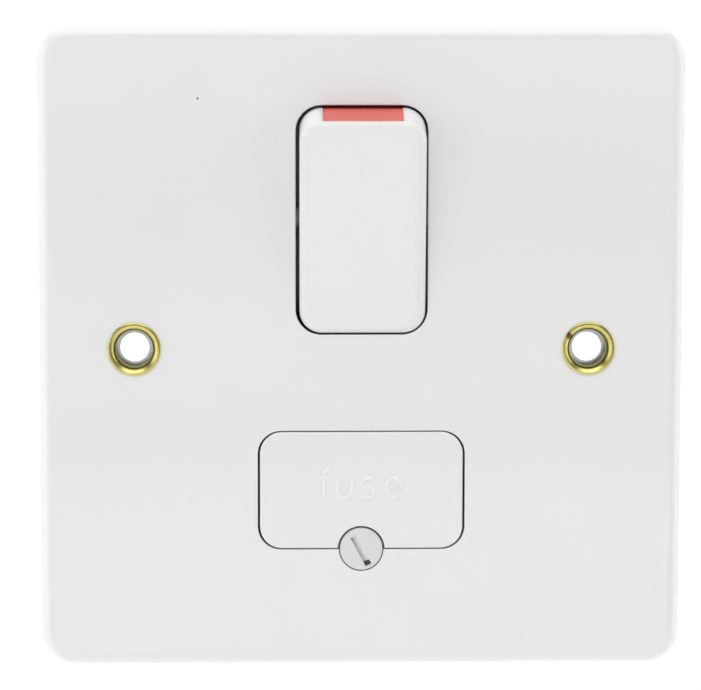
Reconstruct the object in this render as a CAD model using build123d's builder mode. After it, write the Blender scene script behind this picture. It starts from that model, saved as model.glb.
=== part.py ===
from build123d import *

import os
from math import cos, radians, sin, sqrt, tan

# Switched fused connection unit: a single-gang wall plate with a rocker switch above a fuse carrier.
# The wall plane is y = 0, with the origin at the plate's centre. +Z is up and the face looks along -Y.
# A depth is a distance in front of the wall plane, so a negative depth lies inside the wall box.

# Front plate
PLATE_SIZE = 86.0
PLATE_DEPTH = 9.0
PLATE_CORNER = 4.8
EDGE_ROUND = 1.6
SIDE_DRAFT = 2.0
FACE_WALL = 2.6
SKIRT_WALL = 2.2
OPENING_BREAK = 0.2
UNDERSIDE = PLATE_DEPTH - FACE_WALL
HOLLOW_SIZE = PLATE_SIZE - 2 * SKIRT_WALL

# Fixing holes with their eyelets
FIXING_CENTRES = 60.3
EYELET_BORE_R = 2.4
EYELET_TUBE_WALL = 0.4
EYELET_FLANGE_R = 3.55
EYELET_PROUD = 0.22
EYELET_SEAT_DEPTH = 0.75
EYELET_FLARE = 1.3
SPACER_WALL = 1.4
EYELET_X = FIXING_CENTRES / 2

# Rocker opening and rocker, drawn at rest in the ON position with the lower end pressed in
OPENING_WIDTH = 17.5
OPENING_HEIGHT = 30.4
OPENING_CORNER = 3.4
OPENING_Z = 17.1
OPENING_LIP = 0.9
ROCKER_GAP = 0.4
LOWER_GAP = 0.2
ROCKER_FLOAT = 0.1
ROCKER_TILT = 6.5
ROCKER_RISE = 6.4
PIVOT_BELOW_FACE = 4.5
NOSE_LEAN = 22.0
ROCKER_EDGE = 1.0
ROCKER_WALL = 1.7
ROCKER_ROOF = 2.0
ROCKER_SKIRT = 2.2
SKIRT_FLANGE = 0.55
SKIRT_FLANGE_HEIGHT = 0.9
TRUNNION_R = 1.4
TRUNNION_CLEARANCE = 0.06
FLASH_WIDTH = 10.6
FLASH_THICKNESS = 0.6
FLASH_SUNK = 0.08
PIVOT_DEPTH = PLATE_DEPTH - PIVOT_BELOW_FACE
ROCKER_WIDTH = OPENING_WIDTH - 2 * ROCKER_GAP
ROCKER_CORNER = OPENING_CORNER - ROCKER_GAP
ROCKER_TURN = radians(ROCKER_TILT)

# The rocker's end meets the lip of the opening, and swings past it into a relief behind the lip
END_HEIGHT = OPENING_HEIGHT / 2 - ROCKER_GAP
END_HALF = END_HEIGHT * cos(ROCKER_TURN) + PIVOT_BELOW_FACE * sin(ROCKER_TURN)
END_RISE = PIVOT_BELOW_FACE * cos(ROCKER_TURN) - END_HEIGHT * sin(ROCKER_TURN)
ROCKER_SWING_R = sqrt(END_HALF**2 + END_RISE**2)
OPENING_RELIEF = ROCKER_SWING_R + ROCKER_GAP / 2 - OPENING_HEIGHT / 2

# Sprung plungers of the two poles
POLE_OFFSET = 4.4
PLUNGER_R = 1.65
PLUNGER_REACH = 13.0
PLUNGER_TAIL = 5.2
PLUNGER_CLEARANCE = 0.06
STEM_WALL = 0.9
STEM_REACH = 7.2
SPRING_WIRE_R = 0.22
SPRING_TURNS = 5.0
SPRING_END_GAP = 0.06

# Contact arms, tilted the other way to the rocker
ARM_TILT = 8.0
ARM_WIDTH = 4.0
ARM_THICKNESS = 1.0
ARM_TAIL = 8.0
ARM_SEAT = 1.2
OVER_CENTRE_GAP = 0.06
FULCRUM_R = 0.45
FULCRUM_CLEARANCE = 0.08
CONTACT_REACH = 10.0
CONTACT_R = 1.6
CONTACT_HEIGHT = 0.8
CONTACT_DOME_R = 4.0
CONTACT_CLEARANCE = 0.1
STRAP_THICKNESS = 1.0
STRAP_WIDTH = 4.4
ARM_AXIS_DEPTH = PIVOT_DEPTH - PLUNGER_REACH - OVER_CENTRE_GAP - ARM_SEAT

# The fixed contact's dome faces the closed moving contact square on
MOVING_FACE = ARM_SEAT - ARM_THICKNESS - CONTACT_HEIGHT
CLOSED_REACH = MOVING_FACE - CONTACT_CLEARANCE - CONTACT_DOME_R
ARM_TURN = radians(ARM_TILT)
FIXED_CONTACT_Z = OPENING_Z + CONTACT_REACH * cos(ARM_TURN) + CLOSED_REACH * sin(ARM_TURN)
DOME_DEPTH = ARM_AXIS_DEPTH - CONTACT_REACH * sin(ARM_TURN) + CLOSED_REACH * cos(ARM_TURN)
CONTACT_STRAP_FRONT = DOME_DEPTH + CONTACT_DOME_R - CONTACT_HEIGHT
CHAMBER_FLOOR = CONTACT_STRAP_FRONT - STRAP_THICKNESS

# Cartridge fuse and its clips
FUSE_LENGTH = 25.4
FUSE_CAP_R = 3.175
FUSE_CAP_LENGTH = 6.0
FUSE_CAP_WALL = 0.25
FUSE_END_WALL = 0.5
FUSE_FIT = 0.02
FUSE_Z = -17.8
FUSE_BEHIND_FLANGE = 1.0
SADDLE_LENGTH = 10.6
SADDLE_WALL = 1.5
SADDLE_GRIP = 1.7
CLIP_WALL = 0.6
CLIP_WIDTH = 4.6
CLIP_CLEARANCE = 0.05
CLIP_FLARE = 0.9
FUSE_TUBE_R = FUSE_CAP_R - FUSE_CAP_WALL - FUSE_FIT
CLIP_X = (FUSE_LENGTH - FUSE_CAP_LENGTH) / 2

# Fuse carrier and its screw
FUSE_SIDE_ROOM = 1.1
CARRIER_HEIGHT = 16.0
CARRIER_CORNER = 3.1
CARRIER_Z = -18.99
CARRIER_GAP = 0.15
CARRIER_SIDE_GAP = 0.28
CARRIER_FLANGE = 3.2
CARRIER_EDGE = 0.25
CARRIER_BACK = PLATE_DEPTH - CARRIER_FLANGE
GUIDE_LENGTH = 4.4
GUIDE_WALL = 1.2
CHUTE_WALL = 1.4
SCREW_HEAD_R = 2.87
SCREW_HEAD_HEIGHT = 2.1
SCREW_HEAD_GAP = 0.1
SCREW_POCKET_GAP = 0.25
SCREW_SUNK = 0.1
SCREW_SHANK_R = 1.5
SCREW_HOLE_CLEARANCE = 0.06
SCREW_TIP_DEPTH = -3.0
SLOT_LENGTH = 4.15
SLOT_WIDTH = 0.76
SLOT_TURN = 26.0
SLOT_SHALLOW = 0.25
SLOT_DEEP = 1.1
LUG_THICKNESS = 2.0
RETAINER_R = 2.3
RETAINER_HEIGHT = 0.8
RETAINER_CLEARANCE = 0.04
INSERT_R = 2.3
INSERT_LENGTH = 5.0
CARRIER_WIDTH = FUSE_LENGTH + 2 * FUSE_SIDE_ROOM
FUSE_DEPTH = CARRIER_BACK - FUSE_BEHIND_FLANGE - FUSE_CAP_R
SCREW_Z = CARRIER_Z - CARRIER_HEIGHT / 2
SCREW_SEAT = PLATE_DEPTH - SCREW_SUNK - SCREW_HEAD_HEIGHT

# Base moulding behind the plate
BASE_BOTTOM = -31.5
BASE_FRONT = 0.5
BASE_CORNER = 3.0
BASE_EDGE = 0.8
BASE_REAR_WALL = 1.7
CHAMBER_CLEARANCE = 0.45
CHAMBER_WALL = 1.6
CHAMBER_TOP_GAP = 0.2
BARRIER_WALL = 1.6
BARRIER_BELOW_PIVOT = 8.0
BAY_FLOOR = -6.0
BAY_CLEARANCE = 0.3
BAY_WALL = 1.7
TOWER_CORNER = 1.5
CORE_CORNER = 0.8
POST_OUT = 3.0
POST_Z_UPPER = 21.0
POST_Z_LOWER = -25.0
POST_R = 3.0
EAR_R = 3.4
EAR_THICKNESS = 2.0
RIB_WALL = 1.2
RIB_HEIGHT = 3.4
CHAMBER_WIDTH = OPENING_WIDTH + 2 * CHAMBER_CLEARANCE
CHAMBER_HEIGHT = OPENING_HEIGHT + 2 * CHAMBER_CLEARANCE
BASE_TOP = OPENING_Z + CHAMBER_HEIGHT / 2 + CHAMBER_WALL
BASE_REAR = CHAMBER_FLOOR - BASE_REAR_WALL
CHEEK_X = CHAMBER_WIDTH / 2 + CHAMBER_WALL
CHEEK_FRONT = UNDERSIDE - CHAMBER_TOP_GAP
BAY_HALF = FUSE_LENGTH / 2 + BAY_CLEARANCE

# Terminals
BLOCK_WIDTH = 6.8
BLOCK_HEIGHT = 7.5
BLOCK_FRONT = -8.0
BLOCK_DEPTH = 9.5
BLOCK_CLEARANCE = 0.1
WIRE_R = 2.1
WIRE_BELOW_FRONT = 3.5
PORT_R = 2.9
EARTH_PITCH = 10.0
EARTH_Z = -19.0
LOAD_Z = -19.0
TOWER_WALL = 1.8
TERMINAL_THREAD_R = 1.75
TERMINAL_SCREW_CLEARANCE = 0.05
TERMINAL_HEAD_R = 2.4
TERMINAL_HEAD_HEIGHT = 1.8
TERMINAL_ACCESS_R = 2.7
TERMINAL_SLOT = 0.7
BLOCK_X = BAY_HALF + BAY_WALL + BLOCK_CLEARANCE + BLOCK_WIDTH / 2
BASE_HALF = BLOCK_X + BLOCK_WIDTH / 2 + BLOCK_CLEARANCE + TOWER_WALL
POST_X = BASE_HALF + POST_OUT
BLOCK_REAR = BLOCK_FRONT - BLOCK_DEPTH
WIRE_DEPTH = BLOCK_FRONT - WIRE_BELOW_FRONT
TOWER_REAR = BLOCK_REAR - BLOCK_CLEARANCE - TOWER_WALL

# Base fixing screws
BASE_SCREW_R = 1.4
BASE_SCREW_HEAD_R = 2.7
BASE_SCREW_HEAD_HEIGHT = 1.8
BASE_SCREW_REACH = 5.0
BASE_SCREW_CLEARANCE = 0.05

# Earth strap
EARTH_STRAP_WIDTH = 7.0
EARTH_STRAP_Z = -4.5
EARTH_PAD_R = 4.2
EARTH_HOLE_R = 1.95
EARTH_LEG_WIDTH = 4.0
EARTH_STRAP_CLEARANCE = 0.3


def at_depth(depth):
    """Plane parallel to the wall: local x is X, local y is Z, and extrusion runs to the front."""
    return Plane.XZ.offset(depth)


def side_plane(x, depth=0.0, z=0.0, tilt=0.0):
    """Plane square to X: local x runs up and local y to the front, both turned by tilt about +X."""
    turn = radians(tilt)
    return Plane(origin=(x, -depth, z), x_dir=(0, -sin(turn), cos(turn)), z_dir=(1, 0, 0))


def plan_plane(x, depth, z, tilt, rise):
    """Plane facing the front of a tilted piece, at a height above its axis."""
    turn = radians(tilt)
    front = Vector(0, -cos(turn), -sin(turn))
    return Plane(origin=Vector(x, -depth, z) + front * rise, x_dir=(1, 0, 0), z_dir=front)


def turning_plane(x, z):
    """Plane holding a turned piece's axis: local x is the radius and local y the depth."""
    return Plane(origin=(x, 0, z), x_dir=(1, 0, 0), z_dir=(0, 0, -1))


def depth_axis(x, z):
    """Axis square to the wall."""
    return Axis((x, 0, z), (0, -1, 0))


def rocker_plan(rise):
    """Plane facing the front of the rocker, at a height above its pivot."""
    return plan_plane(ROCKER_FLOAT, PIVOT_DEPTH, OPENING_Z, ROCKER_TILT, rise)


def arm_plan(x, rise):
    """Plane facing the front of a contact arm, at a height above its fulcrum."""
    return plan_plane(x, ARM_AXIS_DEPTH, OPENING_Z, -ARM_TILT, rise)


LIVE_X = -POLE_OFFSET
NEUTRAL_X = POLE_OFFSET
POSTS = [(x, z) for x in (-POST_X, POST_X) for z in (POST_Z_LOWER, POST_Z_UPPER)]
CHUTE_REAR = BASE_FRONT + 0.5
SUPPLY_Z = FIXED_CONTACT_Z
EARTH_HALF = (EARTH_PITCH + BLOCK_HEIGHT) / 2
EARTH_LEG_Z = EARTH_Z + EARTH_HALF - STRAP_THICKNESS / 2 - 0.25

# Outline of the earth strap, also used for its clearance in the plate
with BuildSketch(at_depth(UNDERSIDE - STRAP_THICKNESS)) as strap_outline:
    with Locations((0, EARTH_STRAP_Z)):
        Rectangle(FIXING_CENTRES, EARTH_STRAP_WIDTH)
    with Locations((-EYELET_X, 0), (EYELET_X, 0)):
        Circle(EARTH_PAD_R)

# Front plate
with BuildPart() as front_plate:
    with BuildSketch(at_depth(0)):
        RectangleRounded(PLATE_SIZE, PLATE_SIZE, PLATE_CORNER)
    extrude(amount=PLATE_DEPTH, taper=SIDE_DRAFT)
    fillet(front_plate.faces().sort_by(Axis.Y)[0].edges(), EDGE_ROUND)
    with BuildSketch(at_depth(0)):
        RectangleRounded(HOLLOW_SIZE, HOLLOW_SIZE, PLATE_CORNER - SKIRT_WALL)
    extrude(amount=UNDERSIDE, taper=SIDE_DRAFT, mode=Mode.SUBTRACT)
    # chute around the fuse carrier
    with BuildSketch(at_depth(CHUTE_REAR)):
        with Locations((0, CARRIER_Z)):
            RectangleRounded(
                CARRIER_WIDTH + 2 * CHUTE_WALL,
                CARRIER_HEIGHT + 2 * CHUTE_WALL,
                CARRIER_CORNER + CHUTE_WALL,
            )
        with Locations((0, SCREW_Z)):
            Circle(SCREW_HEAD_R + SCREW_HEAD_GAP + CHUTE_WALL)
    extrude(amount=UNDERSIDE - CHUTE_REAR)
    # spacers that take the pull of the fixing screws
    with BuildSketch(at_depth(0)):
        with Locations((-EYELET_X, 0), (EYELET_X, 0)):
            Circle(EARTH_PAD_R + EARTH_STRAP_CLEARANCE + SPACER_WALL)
            Circle(EARTH_PAD_R + EARTH_STRAP_CLEARANCE, mode=Mode.SUBTRACT)
    extrude(amount=UNDERSIDE)
    with BuildSketch(at_depth(UNDERSIDE - STRAP_THICKNESS - EARTH_STRAP_CLEARANCE)):
        add(strap_outline.sketch_local)
        offset(amount=EARTH_STRAP_CLEARANCE)
    extrude(amount=STRAP_THICKNESS + EARTH_STRAP_CLEARANCE, mode=Mode.SUBTRACT)
    # posts for the base screws, with ribs out to the skirt
    with BuildSketch(at_depth(BASE_FRONT)):
        with Locations(*POSTS):
            Circle(POST_R)
    extrude(amount=UNDERSIDE - BASE_FRONT)
    with BuildSketch(at_depth(UNDERSIDE - RIB_HEIGHT)):
        for x, z in POSTS:
            reach = (PLATE_SIZE - SKIRT_WALL) / 2 - POST_X
            with Locations(((POST_X + reach / 2) * (1 if x > 0 else -1), z)):
                Rectangle(reach, RIB_WALL)
    extrude(amount=RIB_HEIGHT)
    with BuildSketch(at_depth(BASE_FRONT)):
        with Locations(*POSTS):
            Circle(BASE_SCREW_R + BASE_SCREW_CLEARANCE)
    extrude(amount=BASE_SCREW_REACH, mode=Mode.SUBTRACT)
    # openings for the rocker and the fuse carrier
    with BuildSketch(at_depth(0)):
        with Locations((0, OPENING_Z)):
            RectangleRounded(OPENING_WIDTH, OPENING_HEIGHT, OPENING_CORNER)
        with Locations((0, CARRIER_Z)):
            RectangleRounded(CARRIER_WIDTH, CARRIER_HEIGHT, CARRIER_CORNER)
        with Locations((0, SCREW_Z)):
            Circle(SCREW_HEAD_R + SCREW_HEAD_GAP)
    extrude(amount=PLATE_DEPTH, mode=Mode.SUBTRACT)
    face_edges = front_plate.faces().sort_by(Axis.Y)[0].inner_wires().edges()
    fillet(face_edges, OPENING_BREAK)
    # relief behind the lip of the rocker's opening
    with BuildSketch(at_depth(UNDERSIDE)):
        with Locations((0, OPENING_Z)):
            RectangleRounded(
                OPENING_WIDTH + 2 * OPENING_RELIEF,
                OPENING_HEIGHT + 2 * OPENING_RELIEF,
                OPENING_CORNER + OPENING_RELIEF,
            )
    extrude(amount=FACE_WALL - OPENING_LIP, mode=Mode.SUBTRACT)
    # seats of the eyelets
    for x in (-EYELET_X, EYELET_X):
        with BuildSketch(turning_plane(x, 0)):
            Polygon(
                (0, UNDERSIDE - 1),
                (EYELET_BORE_R + EYELET_TUBE_WALL, UNDERSIDE - 1),
                (EYELET_BORE_R + EYELET_TUBE_WALL, PLATE_DEPTH - EYELET_SEAT_DEPTH),
                (EYELET_FLANGE_R, PLATE_DEPTH),
                (EYELET_FLANGE_R, PLATE_DEPTH + 1),
                (0, PLATE_DEPTH + 1),
                align=None,
            )
        revolve(axis=depth_axis(x, 0), mode=Mode.SUBTRACT)

# Eyelets, flared over the face with a rolled lip
LIP_TOP = PLATE_DEPTH + EYELET_PROUD
LIP_CREST_R = EYELET_FLANGE_R - 0.35
FLARE_START = PLATE_DEPTH - EYELET_FLARE
with BuildPart() as eyelet_left:
    with BuildSketch(turning_plane(-EYELET_X, 0)) as eyelet_profile:
        with BuildLine():
            Polyline(
                (EYELET_BORE_R, FLARE_START),
                (EYELET_BORE_R, UNDERSIDE),
                (EYELET_BORE_R + EYELET_TUBE_WALL, UNDERSIDE),
                (EYELET_BORE_R + EYELET_TUBE_WALL, PLATE_DEPTH - EYELET_SEAT_DEPTH),
                (EYELET_FLANGE_R, PLATE_DEPTH),
            )
            Spline(
                (EYELET_FLANGE_R, PLATE_DEPTH),
                (LIP_CREST_R, LIP_TOP),
                tangents=[(0, 1), (-1, 0)],
            )
            Spline(
                (LIP_CREST_R, LIP_TOP),
                (EYELET_BORE_R, FLARE_START),
                tangents=[(-1, -0.25), (0, -1)],
            )
        make_face()
    revolve(axis=depth_axis(-EYELET_X, 0))
with BuildPart() as eyelet_right:
    with BuildSketch(turning_plane(EYELET_X, 0)):
        add(eyelet_profile.sketch_local)
    revolve(axis=depth_axis(EYELET_X, 0))

# Earth strap from eyelet to eyelet, with a leg down to the earth terminal
with BuildPart() as earth_strap:
    with BuildSketch(at_depth(UNDERSIDE - STRAP_THICKNESS)):
        add(strap_outline.sketch_local)
        tab_low = EARTH_LEG_Z - STRAP_THICKNESS / 2
        with Locations((-BLOCK_X, (EARTH_STRAP_Z + tab_low) / 2)):
            Rectangle(EARTH_LEG_WIDTH, EARTH_STRAP_Z - tab_low)
        with Locations((-EYELET_X, 0), (EYELET_X, 0)):
            Circle(EARTH_HOLE_R, mode=Mode.SUBTRACT)
    extrude(amount=STRAP_THICKNESS)
    with BuildSketch(at_depth(BLOCK_FRONT)):
        with Locations((-BLOCK_X, EARTH_LEG_Z)):
            Rectangle(EARTH_LEG_WIDTH, STRAP_THICKNESS)
    extrude(amount=UNDERSIDE - BLOCK_FRONT)

# Rocker's upper end leans back from the lip to a rounded crest, and its lower end stands square to the face
rocker_side = side_plane(ROCKER_FLOAT, PIVOT_DEPTH, OPENING_Z, ROCKER_TILT)
LEAN = radians(NOSE_LEAN)
FACE_HALF = END_HALF - (ROCKER_RISE - END_RISE) * tan(LEAN)
CREST_RUN = ROCKER_EDGE / tan((radians(90) + LEAN) / 2)
LOWER_HEIGHT = OPENING_HEIGHT / 2 - LOWER_GAP
LOWER_HALF = (LOWER_HEIGHT - END_RISE * sin(ROCKER_TURN)) / cos(ROCKER_TURN)
LOWER_FACE_HALF = (LOWER_HEIGHT - ROCKER_RISE * sin(ROCKER_TURN)) / cos(ROCKER_TURN)


def flash_section(out):
    """Corners of the red band's section, with its outer side `out` in front of the rocker's end."""
    crest_u = FACE_HALF + CREST_RUN * sin(LEAN)
    crest_v = ROCKER_RISE - CREST_RUN * cos(LEAN)
    return [
        (END_HALF - FLASH_THICKNESS, 0),
        (END_HALF + out, 0),
        (END_HALF + out, END_RISE),
        (crest_u + out * cos(LEAN), crest_v + out * sin(LEAN)),
        (crest_u - FLASH_THICKNESS * cos(LEAN), crest_v - FLASH_THICKNESS * sin(LEAN)),
        (END_HALF - FLASH_THICKNESS, END_RISE),
    ]


# Red band let into the rocker's upper end
with BuildPart() as on_flash:
    with BuildSketch(rocker_side):
        Polygon(*flash_section(-FLASH_SUNK), align=None)
    extrude(amount=FLASH_WIDTH / 2, both=True)

# Rocker, tilted into the ON position, with trunnions and a hollow stem for each plunger
TRUNNION_LENGTH = ROCKER_GAP + CHAMBER_CLEARANCE + CHAMBER_WALL - 0.5
POCKET_HALF = END_HALF - ROCKER_WALL - FLASH_THICKNESS
ROOF_RISE = ROCKER_RISE - ROCKER_ROOF
with BuildPart() as rocker:
    with BuildSketch(rocker_plan(-ROCKER_SKIRT)) as rocker_outline:
        with Locations((0, (END_HALF - LOWER_HALF) / 2)):
            RectangleRounded(ROCKER_WIDTH, END_HALF + LOWER_HALF, ROCKER_CORNER)
    extrude(amount=ROCKER_SKIRT + END_RISE)
    with BuildSketch(rocker_plan(END_RISE)):
        add(rocker_outline.sketch_local)
    with BuildSketch(rocker_plan(ROCKER_RISE)):
        with Locations((0, (FACE_HALF - LOWER_FACE_HALF) / 2)):
            RectangleRounded(ROCKER_WIDTH, FACE_HALF + LOWER_FACE_HALF, ROCKER_CORNER)
    loft(ruled=True)
    forward = Axis(rocker_side.origin, rocker_plan(0).z_dir)
    fillet(rocker.faces().sort_by(forward)[-1].edges(), ROCKER_EDGE)
    with BuildSketch(rocker_plan(-ROCKER_SKIRT)):
        with Locations((0, (END_HALF - LOWER_HALF) / 2)):
            RectangleRounded(ROCKER_WIDTH + 2 * SKIRT_FLANGE, END_HALF + LOWER_HALF, ROCKER_CORNER)
    extrude(amount=SKIRT_FLANGE_HEIGHT)
    with BuildSketch(rocker_plan(-ROCKER_SKIRT)):
        RectangleRounded(ROCKER_WIDTH - 2 * ROCKER_WALL, 2 * POCKET_HALF, ROCKER_WALL)
    extrude(amount=ROCKER_SKIRT + ROOF_RISE, mode=Mode.SUBTRACT)
    with BuildSketch(rocker_plan(-STEM_REACH)):
        with Locations((LIVE_X, 0), (NEUTRAL_X, 0)):
            Circle(PLUNGER_R + PLUNGER_CLEARANCE + STEM_WALL)
    extrude(amount=STEM_REACH + ROOF_RISE + 0.2)
    with BuildSketch(rocker_plan(-STEM_REACH)):
        with Locations((LIVE_X, 0), (NEUTRAL_X, 0)):
            Circle(PLUNGER_R + PLUNGER_CLEARANCE)
    extrude(amount=STEM_REACH + ROOF_RISE, mode=Mode.SUBTRACT)
    with BuildSketch(rocker_side.offset(ROCKER_WIDTH / 2)):
        Circle(TRUNNION_R)
    extrude(amount=TRUNNION_LENGTH)
    with BuildSketch(rocker_side.offset(-ROCKER_WIDTH / 2)):
        Circle(TRUNNION_R)
    extrude(amount=-TRUNNION_LENGTH)
    with BuildSketch(rocker_side):
        Polygon(*flash_section(1), align=None)
    extrude(amount=FLASH_WIDTH / 2, both=True, mode=Mode.SUBTRACT)

# Plungers that press the contact arms over centre
NOSE_RISE = -PLUNGER_REACH + PLUNGER_R
with BuildPart() as live_plunger:
    with BuildSketch(rocker_side.offset(LIVE_X)) as plunger_profile:
        with BuildLine():
            Polyline(
                (0, -PLUNGER_REACH),
                (0, -PLUNGER_TAIL),
                (PLUNGER_R, -PLUNGER_TAIL),
                (PLUNGER_R, NOSE_RISE),
            )
            RadiusArc((PLUNGER_R, NOSE_RISE), (0, -PLUNGER_REACH), PLUNGER_R)
        make_face()
    revolve(axis=Axis(rocker_side.offset(LIVE_X).origin, rocker_plan(0).z_dir))
with BuildPart() as neutral_plunger:
    with BuildSketch(rocker_side.offset(NEUTRAL_X)):
        add(plunger_profile.sketch_local)
    revolve(axis=Axis(rocker_side.offset(NEUTRAL_X).origin, rocker_plan(0).z_dir))

# Springs behind the plungers
SPRING_R = PLUNGER_R - SPRING_WIRE_R - 0.1
SPRING_LOW = -PLUNGER_TAIL + SPRING_WIRE_R + SPRING_END_GAP
SPRING_HEIGHT = ROOF_RISE - SPRING_WIRE_R - SPRING_END_GAP - SPRING_LOW
with BuildPart() as live_spring:
    with BuildLine() as live_coil:
        Helix(
            pitch=SPRING_HEIGHT / SPRING_TURNS,
            height=SPRING_HEIGHT,
            radius=SPRING_R,
            center=rocker_plan(SPRING_LOW).origin + Vector(LIVE_X, 0, 0),
            direction=rocker_plan(0).z_dir,
        )
    with BuildSketch(Plane(origin=live_coil.line @ 0, z_dir=live_coil.line % 0)):
        Circle(SPRING_WIRE_R)
    sweep(path=live_coil.line, is_frenet=True)
with BuildPart() as neutral_spring:
    with BuildLine() as neutral_coil:
        Helix(
            pitch=SPRING_HEIGHT / SPRING_TURNS,
            height=SPRING_HEIGHT,
            radius=SPRING_R,
            center=rocker_plan(SPRING_LOW).origin + Vector(NEUTRAL_X, 0, 0),
            direction=rocker_plan(0).z_dir,
        )
    with BuildSketch(Plane(origin=neutral_coil.line @ 0, z_dir=neutral_coil.line % 0)):
        Circle(SPRING_WIRE_R)
    sweep(path=neutral_coil.line, is_frenet=True)

# Contact arms, each notched over its fulcrum
ARM_HEAD = CONTACT_REACH + CONTACT_R
with BuildSketch(side_plane(0, ARM_AXIS_DEPTH, OPENING_Z, -ARM_TILT)) as arm_profile:
    with Locations((-ARM_TAIL, ARM_SEAT - ARM_THICKNESS)):
        Rectangle(ARM_TAIL + ARM_HEAD, ARM_THICKNESS, align=(Align.MIN, Align.MIN))
    Circle(FULCRUM_R + FULCRUM_CLEARANCE, mode=Mode.SUBTRACT)
with BuildPart() as live_contact_arm:
    with BuildSketch(side_plane(LIVE_X, ARM_AXIS_DEPTH, OPENING_Z, -ARM_TILT)):
        add(arm_profile.sketch_local)
    extrude(amount=ARM_WIDTH / 2, both=True)
with BuildPart() as neutral_contact_arm:
    with BuildSketch(side_plane(NEUTRAL_X, ARM_AXIS_DEPTH, OPENING_Z, -ARM_TILT)):
        add(arm_profile.sketch_local)
    extrude(amount=ARM_WIDTH / 2, both=True)
with BuildPart() as live_moving_contact:
    with BuildSketch(arm_plan(LIVE_X, MOVING_FACE)):
        with Locations((0, CONTACT_REACH)):
            Circle(CONTACT_R)
    extrude(amount=CONTACT_HEIGHT)
with BuildPart() as neutral_moving_contact:
    with BuildSketch(arm_plan(NEUTRAL_X, MOVING_FACE)):
        with Locations((0, CONTACT_REACH)):
            Circle(CONTACT_R)
    extrude(amount=CONTACT_HEIGHT)

# Fixed contacts with domed faces
DOME_EDGE = DOME_DEPTH + sqrt(CONTACT_DOME_R**2 - CONTACT_R**2)
with BuildPart() as live_fixed_contact:
    with BuildSketch(turning_plane(LIVE_X, FIXED_CONTACT_Z)) as fixed_contact_profile:
        with BuildLine():
            Polyline(
                (0, DOME_DEPTH + CONTACT_DOME_R),
                (0, CONTACT_STRAP_FRONT),
                (CONTACT_R, CONTACT_STRAP_FRONT),
                (CONTACT_R, DOME_EDGE),
            )
            RadiusArc((CONTACT_R, DOME_EDGE), (0, DOME_DEPTH + CONTACT_DOME_R), -CONTACT_DOME_R)
        make_face()
    revolve(axis=depth_axis(LIVE_X, FIXED_CONTACT_Z))
with BuildPart() as neutral_fixed_contact:
    with BuildSketch(turning_plane(NEUTRAL_X, FIXED_CONTACT_Z)):
        add(fixed_contact_profile.sketch_local)
    revolve(axis=depth_axis(NEUTRAL_X, FIXED_CONTACT_Z))

# Terminals: a drilled block with a strap to what it feeds
BORE_DEPTH = BLOCK_WIDTH - 1.2
INNER_FACE = BLOCK_X - BLOCK_WIDTH / 2
OUTER_FACE = BLOCK_X + BLOCK_WIDTH / 2
STRAP_REACH = INNER_FACE - POLE_OFFSET + STRAP_WIDTH / 2
with BuildPart() as live_supply_terminal:
    with BuildSketch(at_depth(BLOCK_REAR)):
        with Locations((-BLOCK_X, SUPPLY_Z)):
            Rectangle(BLOCK_WIDTH, BLOCK_HEIGHT)
    extrude(amount=BLOCK_DEPTH)
    with BuildSketch(at_depth(CHAMBER_FLOOR)):
        with Locations((LIVE_X + STRAP_WIDTH / 2, SUPPLY_Z)):
            Rectangle(STRAP_REACH, STRAP_WIDTH, align=(Align.MAX, Align.CENTER))
    extrude(amount=STRAP_THICKNESS)
    with BuildSketch(side_plane(-OUTER_FACE)):
        with Locations((SUPPLY_Z, WIRE_DEPTH)):
            Circle(WIRE_R)
    extrude(amount=BORE_DEPTH, mode=Mode.SUBTRACT)
    with BuildSketch(at_depth(BLOCK_REAR)):
        with Locations((-BLOCK_X, SUPPLY_Z)):
            Circle(TERMINAL_THREAD_R + TERMINAL_SCREW_CLEARANCE)
    extrude(amount=WIRE_DEPTH - BLOCK_REAR, mode=Mode.SUBTRACT)
with BuildPart() as neutral_supply_terminal:
    with BuildSketch(at_depth(BLOCK_REAR)):
        with Locations((BLOCK_X, SUPPLY_Z)):
            Rectangle(BLOCK_WIDTH, BLOCK_HEIGHT)
    extrude(amount=BLOCK_DEPTH)
    with BuildSketch(at_depth(CHAMBER_FLOOR)):
        with Locations((NEUTRAL_X - STRAP_WIDTH / 2, SUPPLY_Z)):
            Rectangle(STRAP_REACH, STRAP_WIDTH, align=(Align.MIN, Align.CENTER))
    extrude(amount=STRAP_THICKNESS)
    with BuildSketch(side_plane(OUTER_FACE)):
        with Locations((SUPPLY_Z, WIRE_DEPTH)):
            Circle(WIRE_R)
    extrude(amount=-BORE_DEPTH, mode=Mode.SUBTRACT)
    with BuildSketch(at_depth(BLOCK_REAR)):
        with Locations((BLOCK_X, SUPPLY_Z)):
            Circle(TERMINAL_THREAD_R + TERMINAL_SCREW_CLEARANCE)
    extrude(amount=WIRE_DEPTH - BLOCK_REAR, mode=Mode.SUBTRACT)

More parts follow.
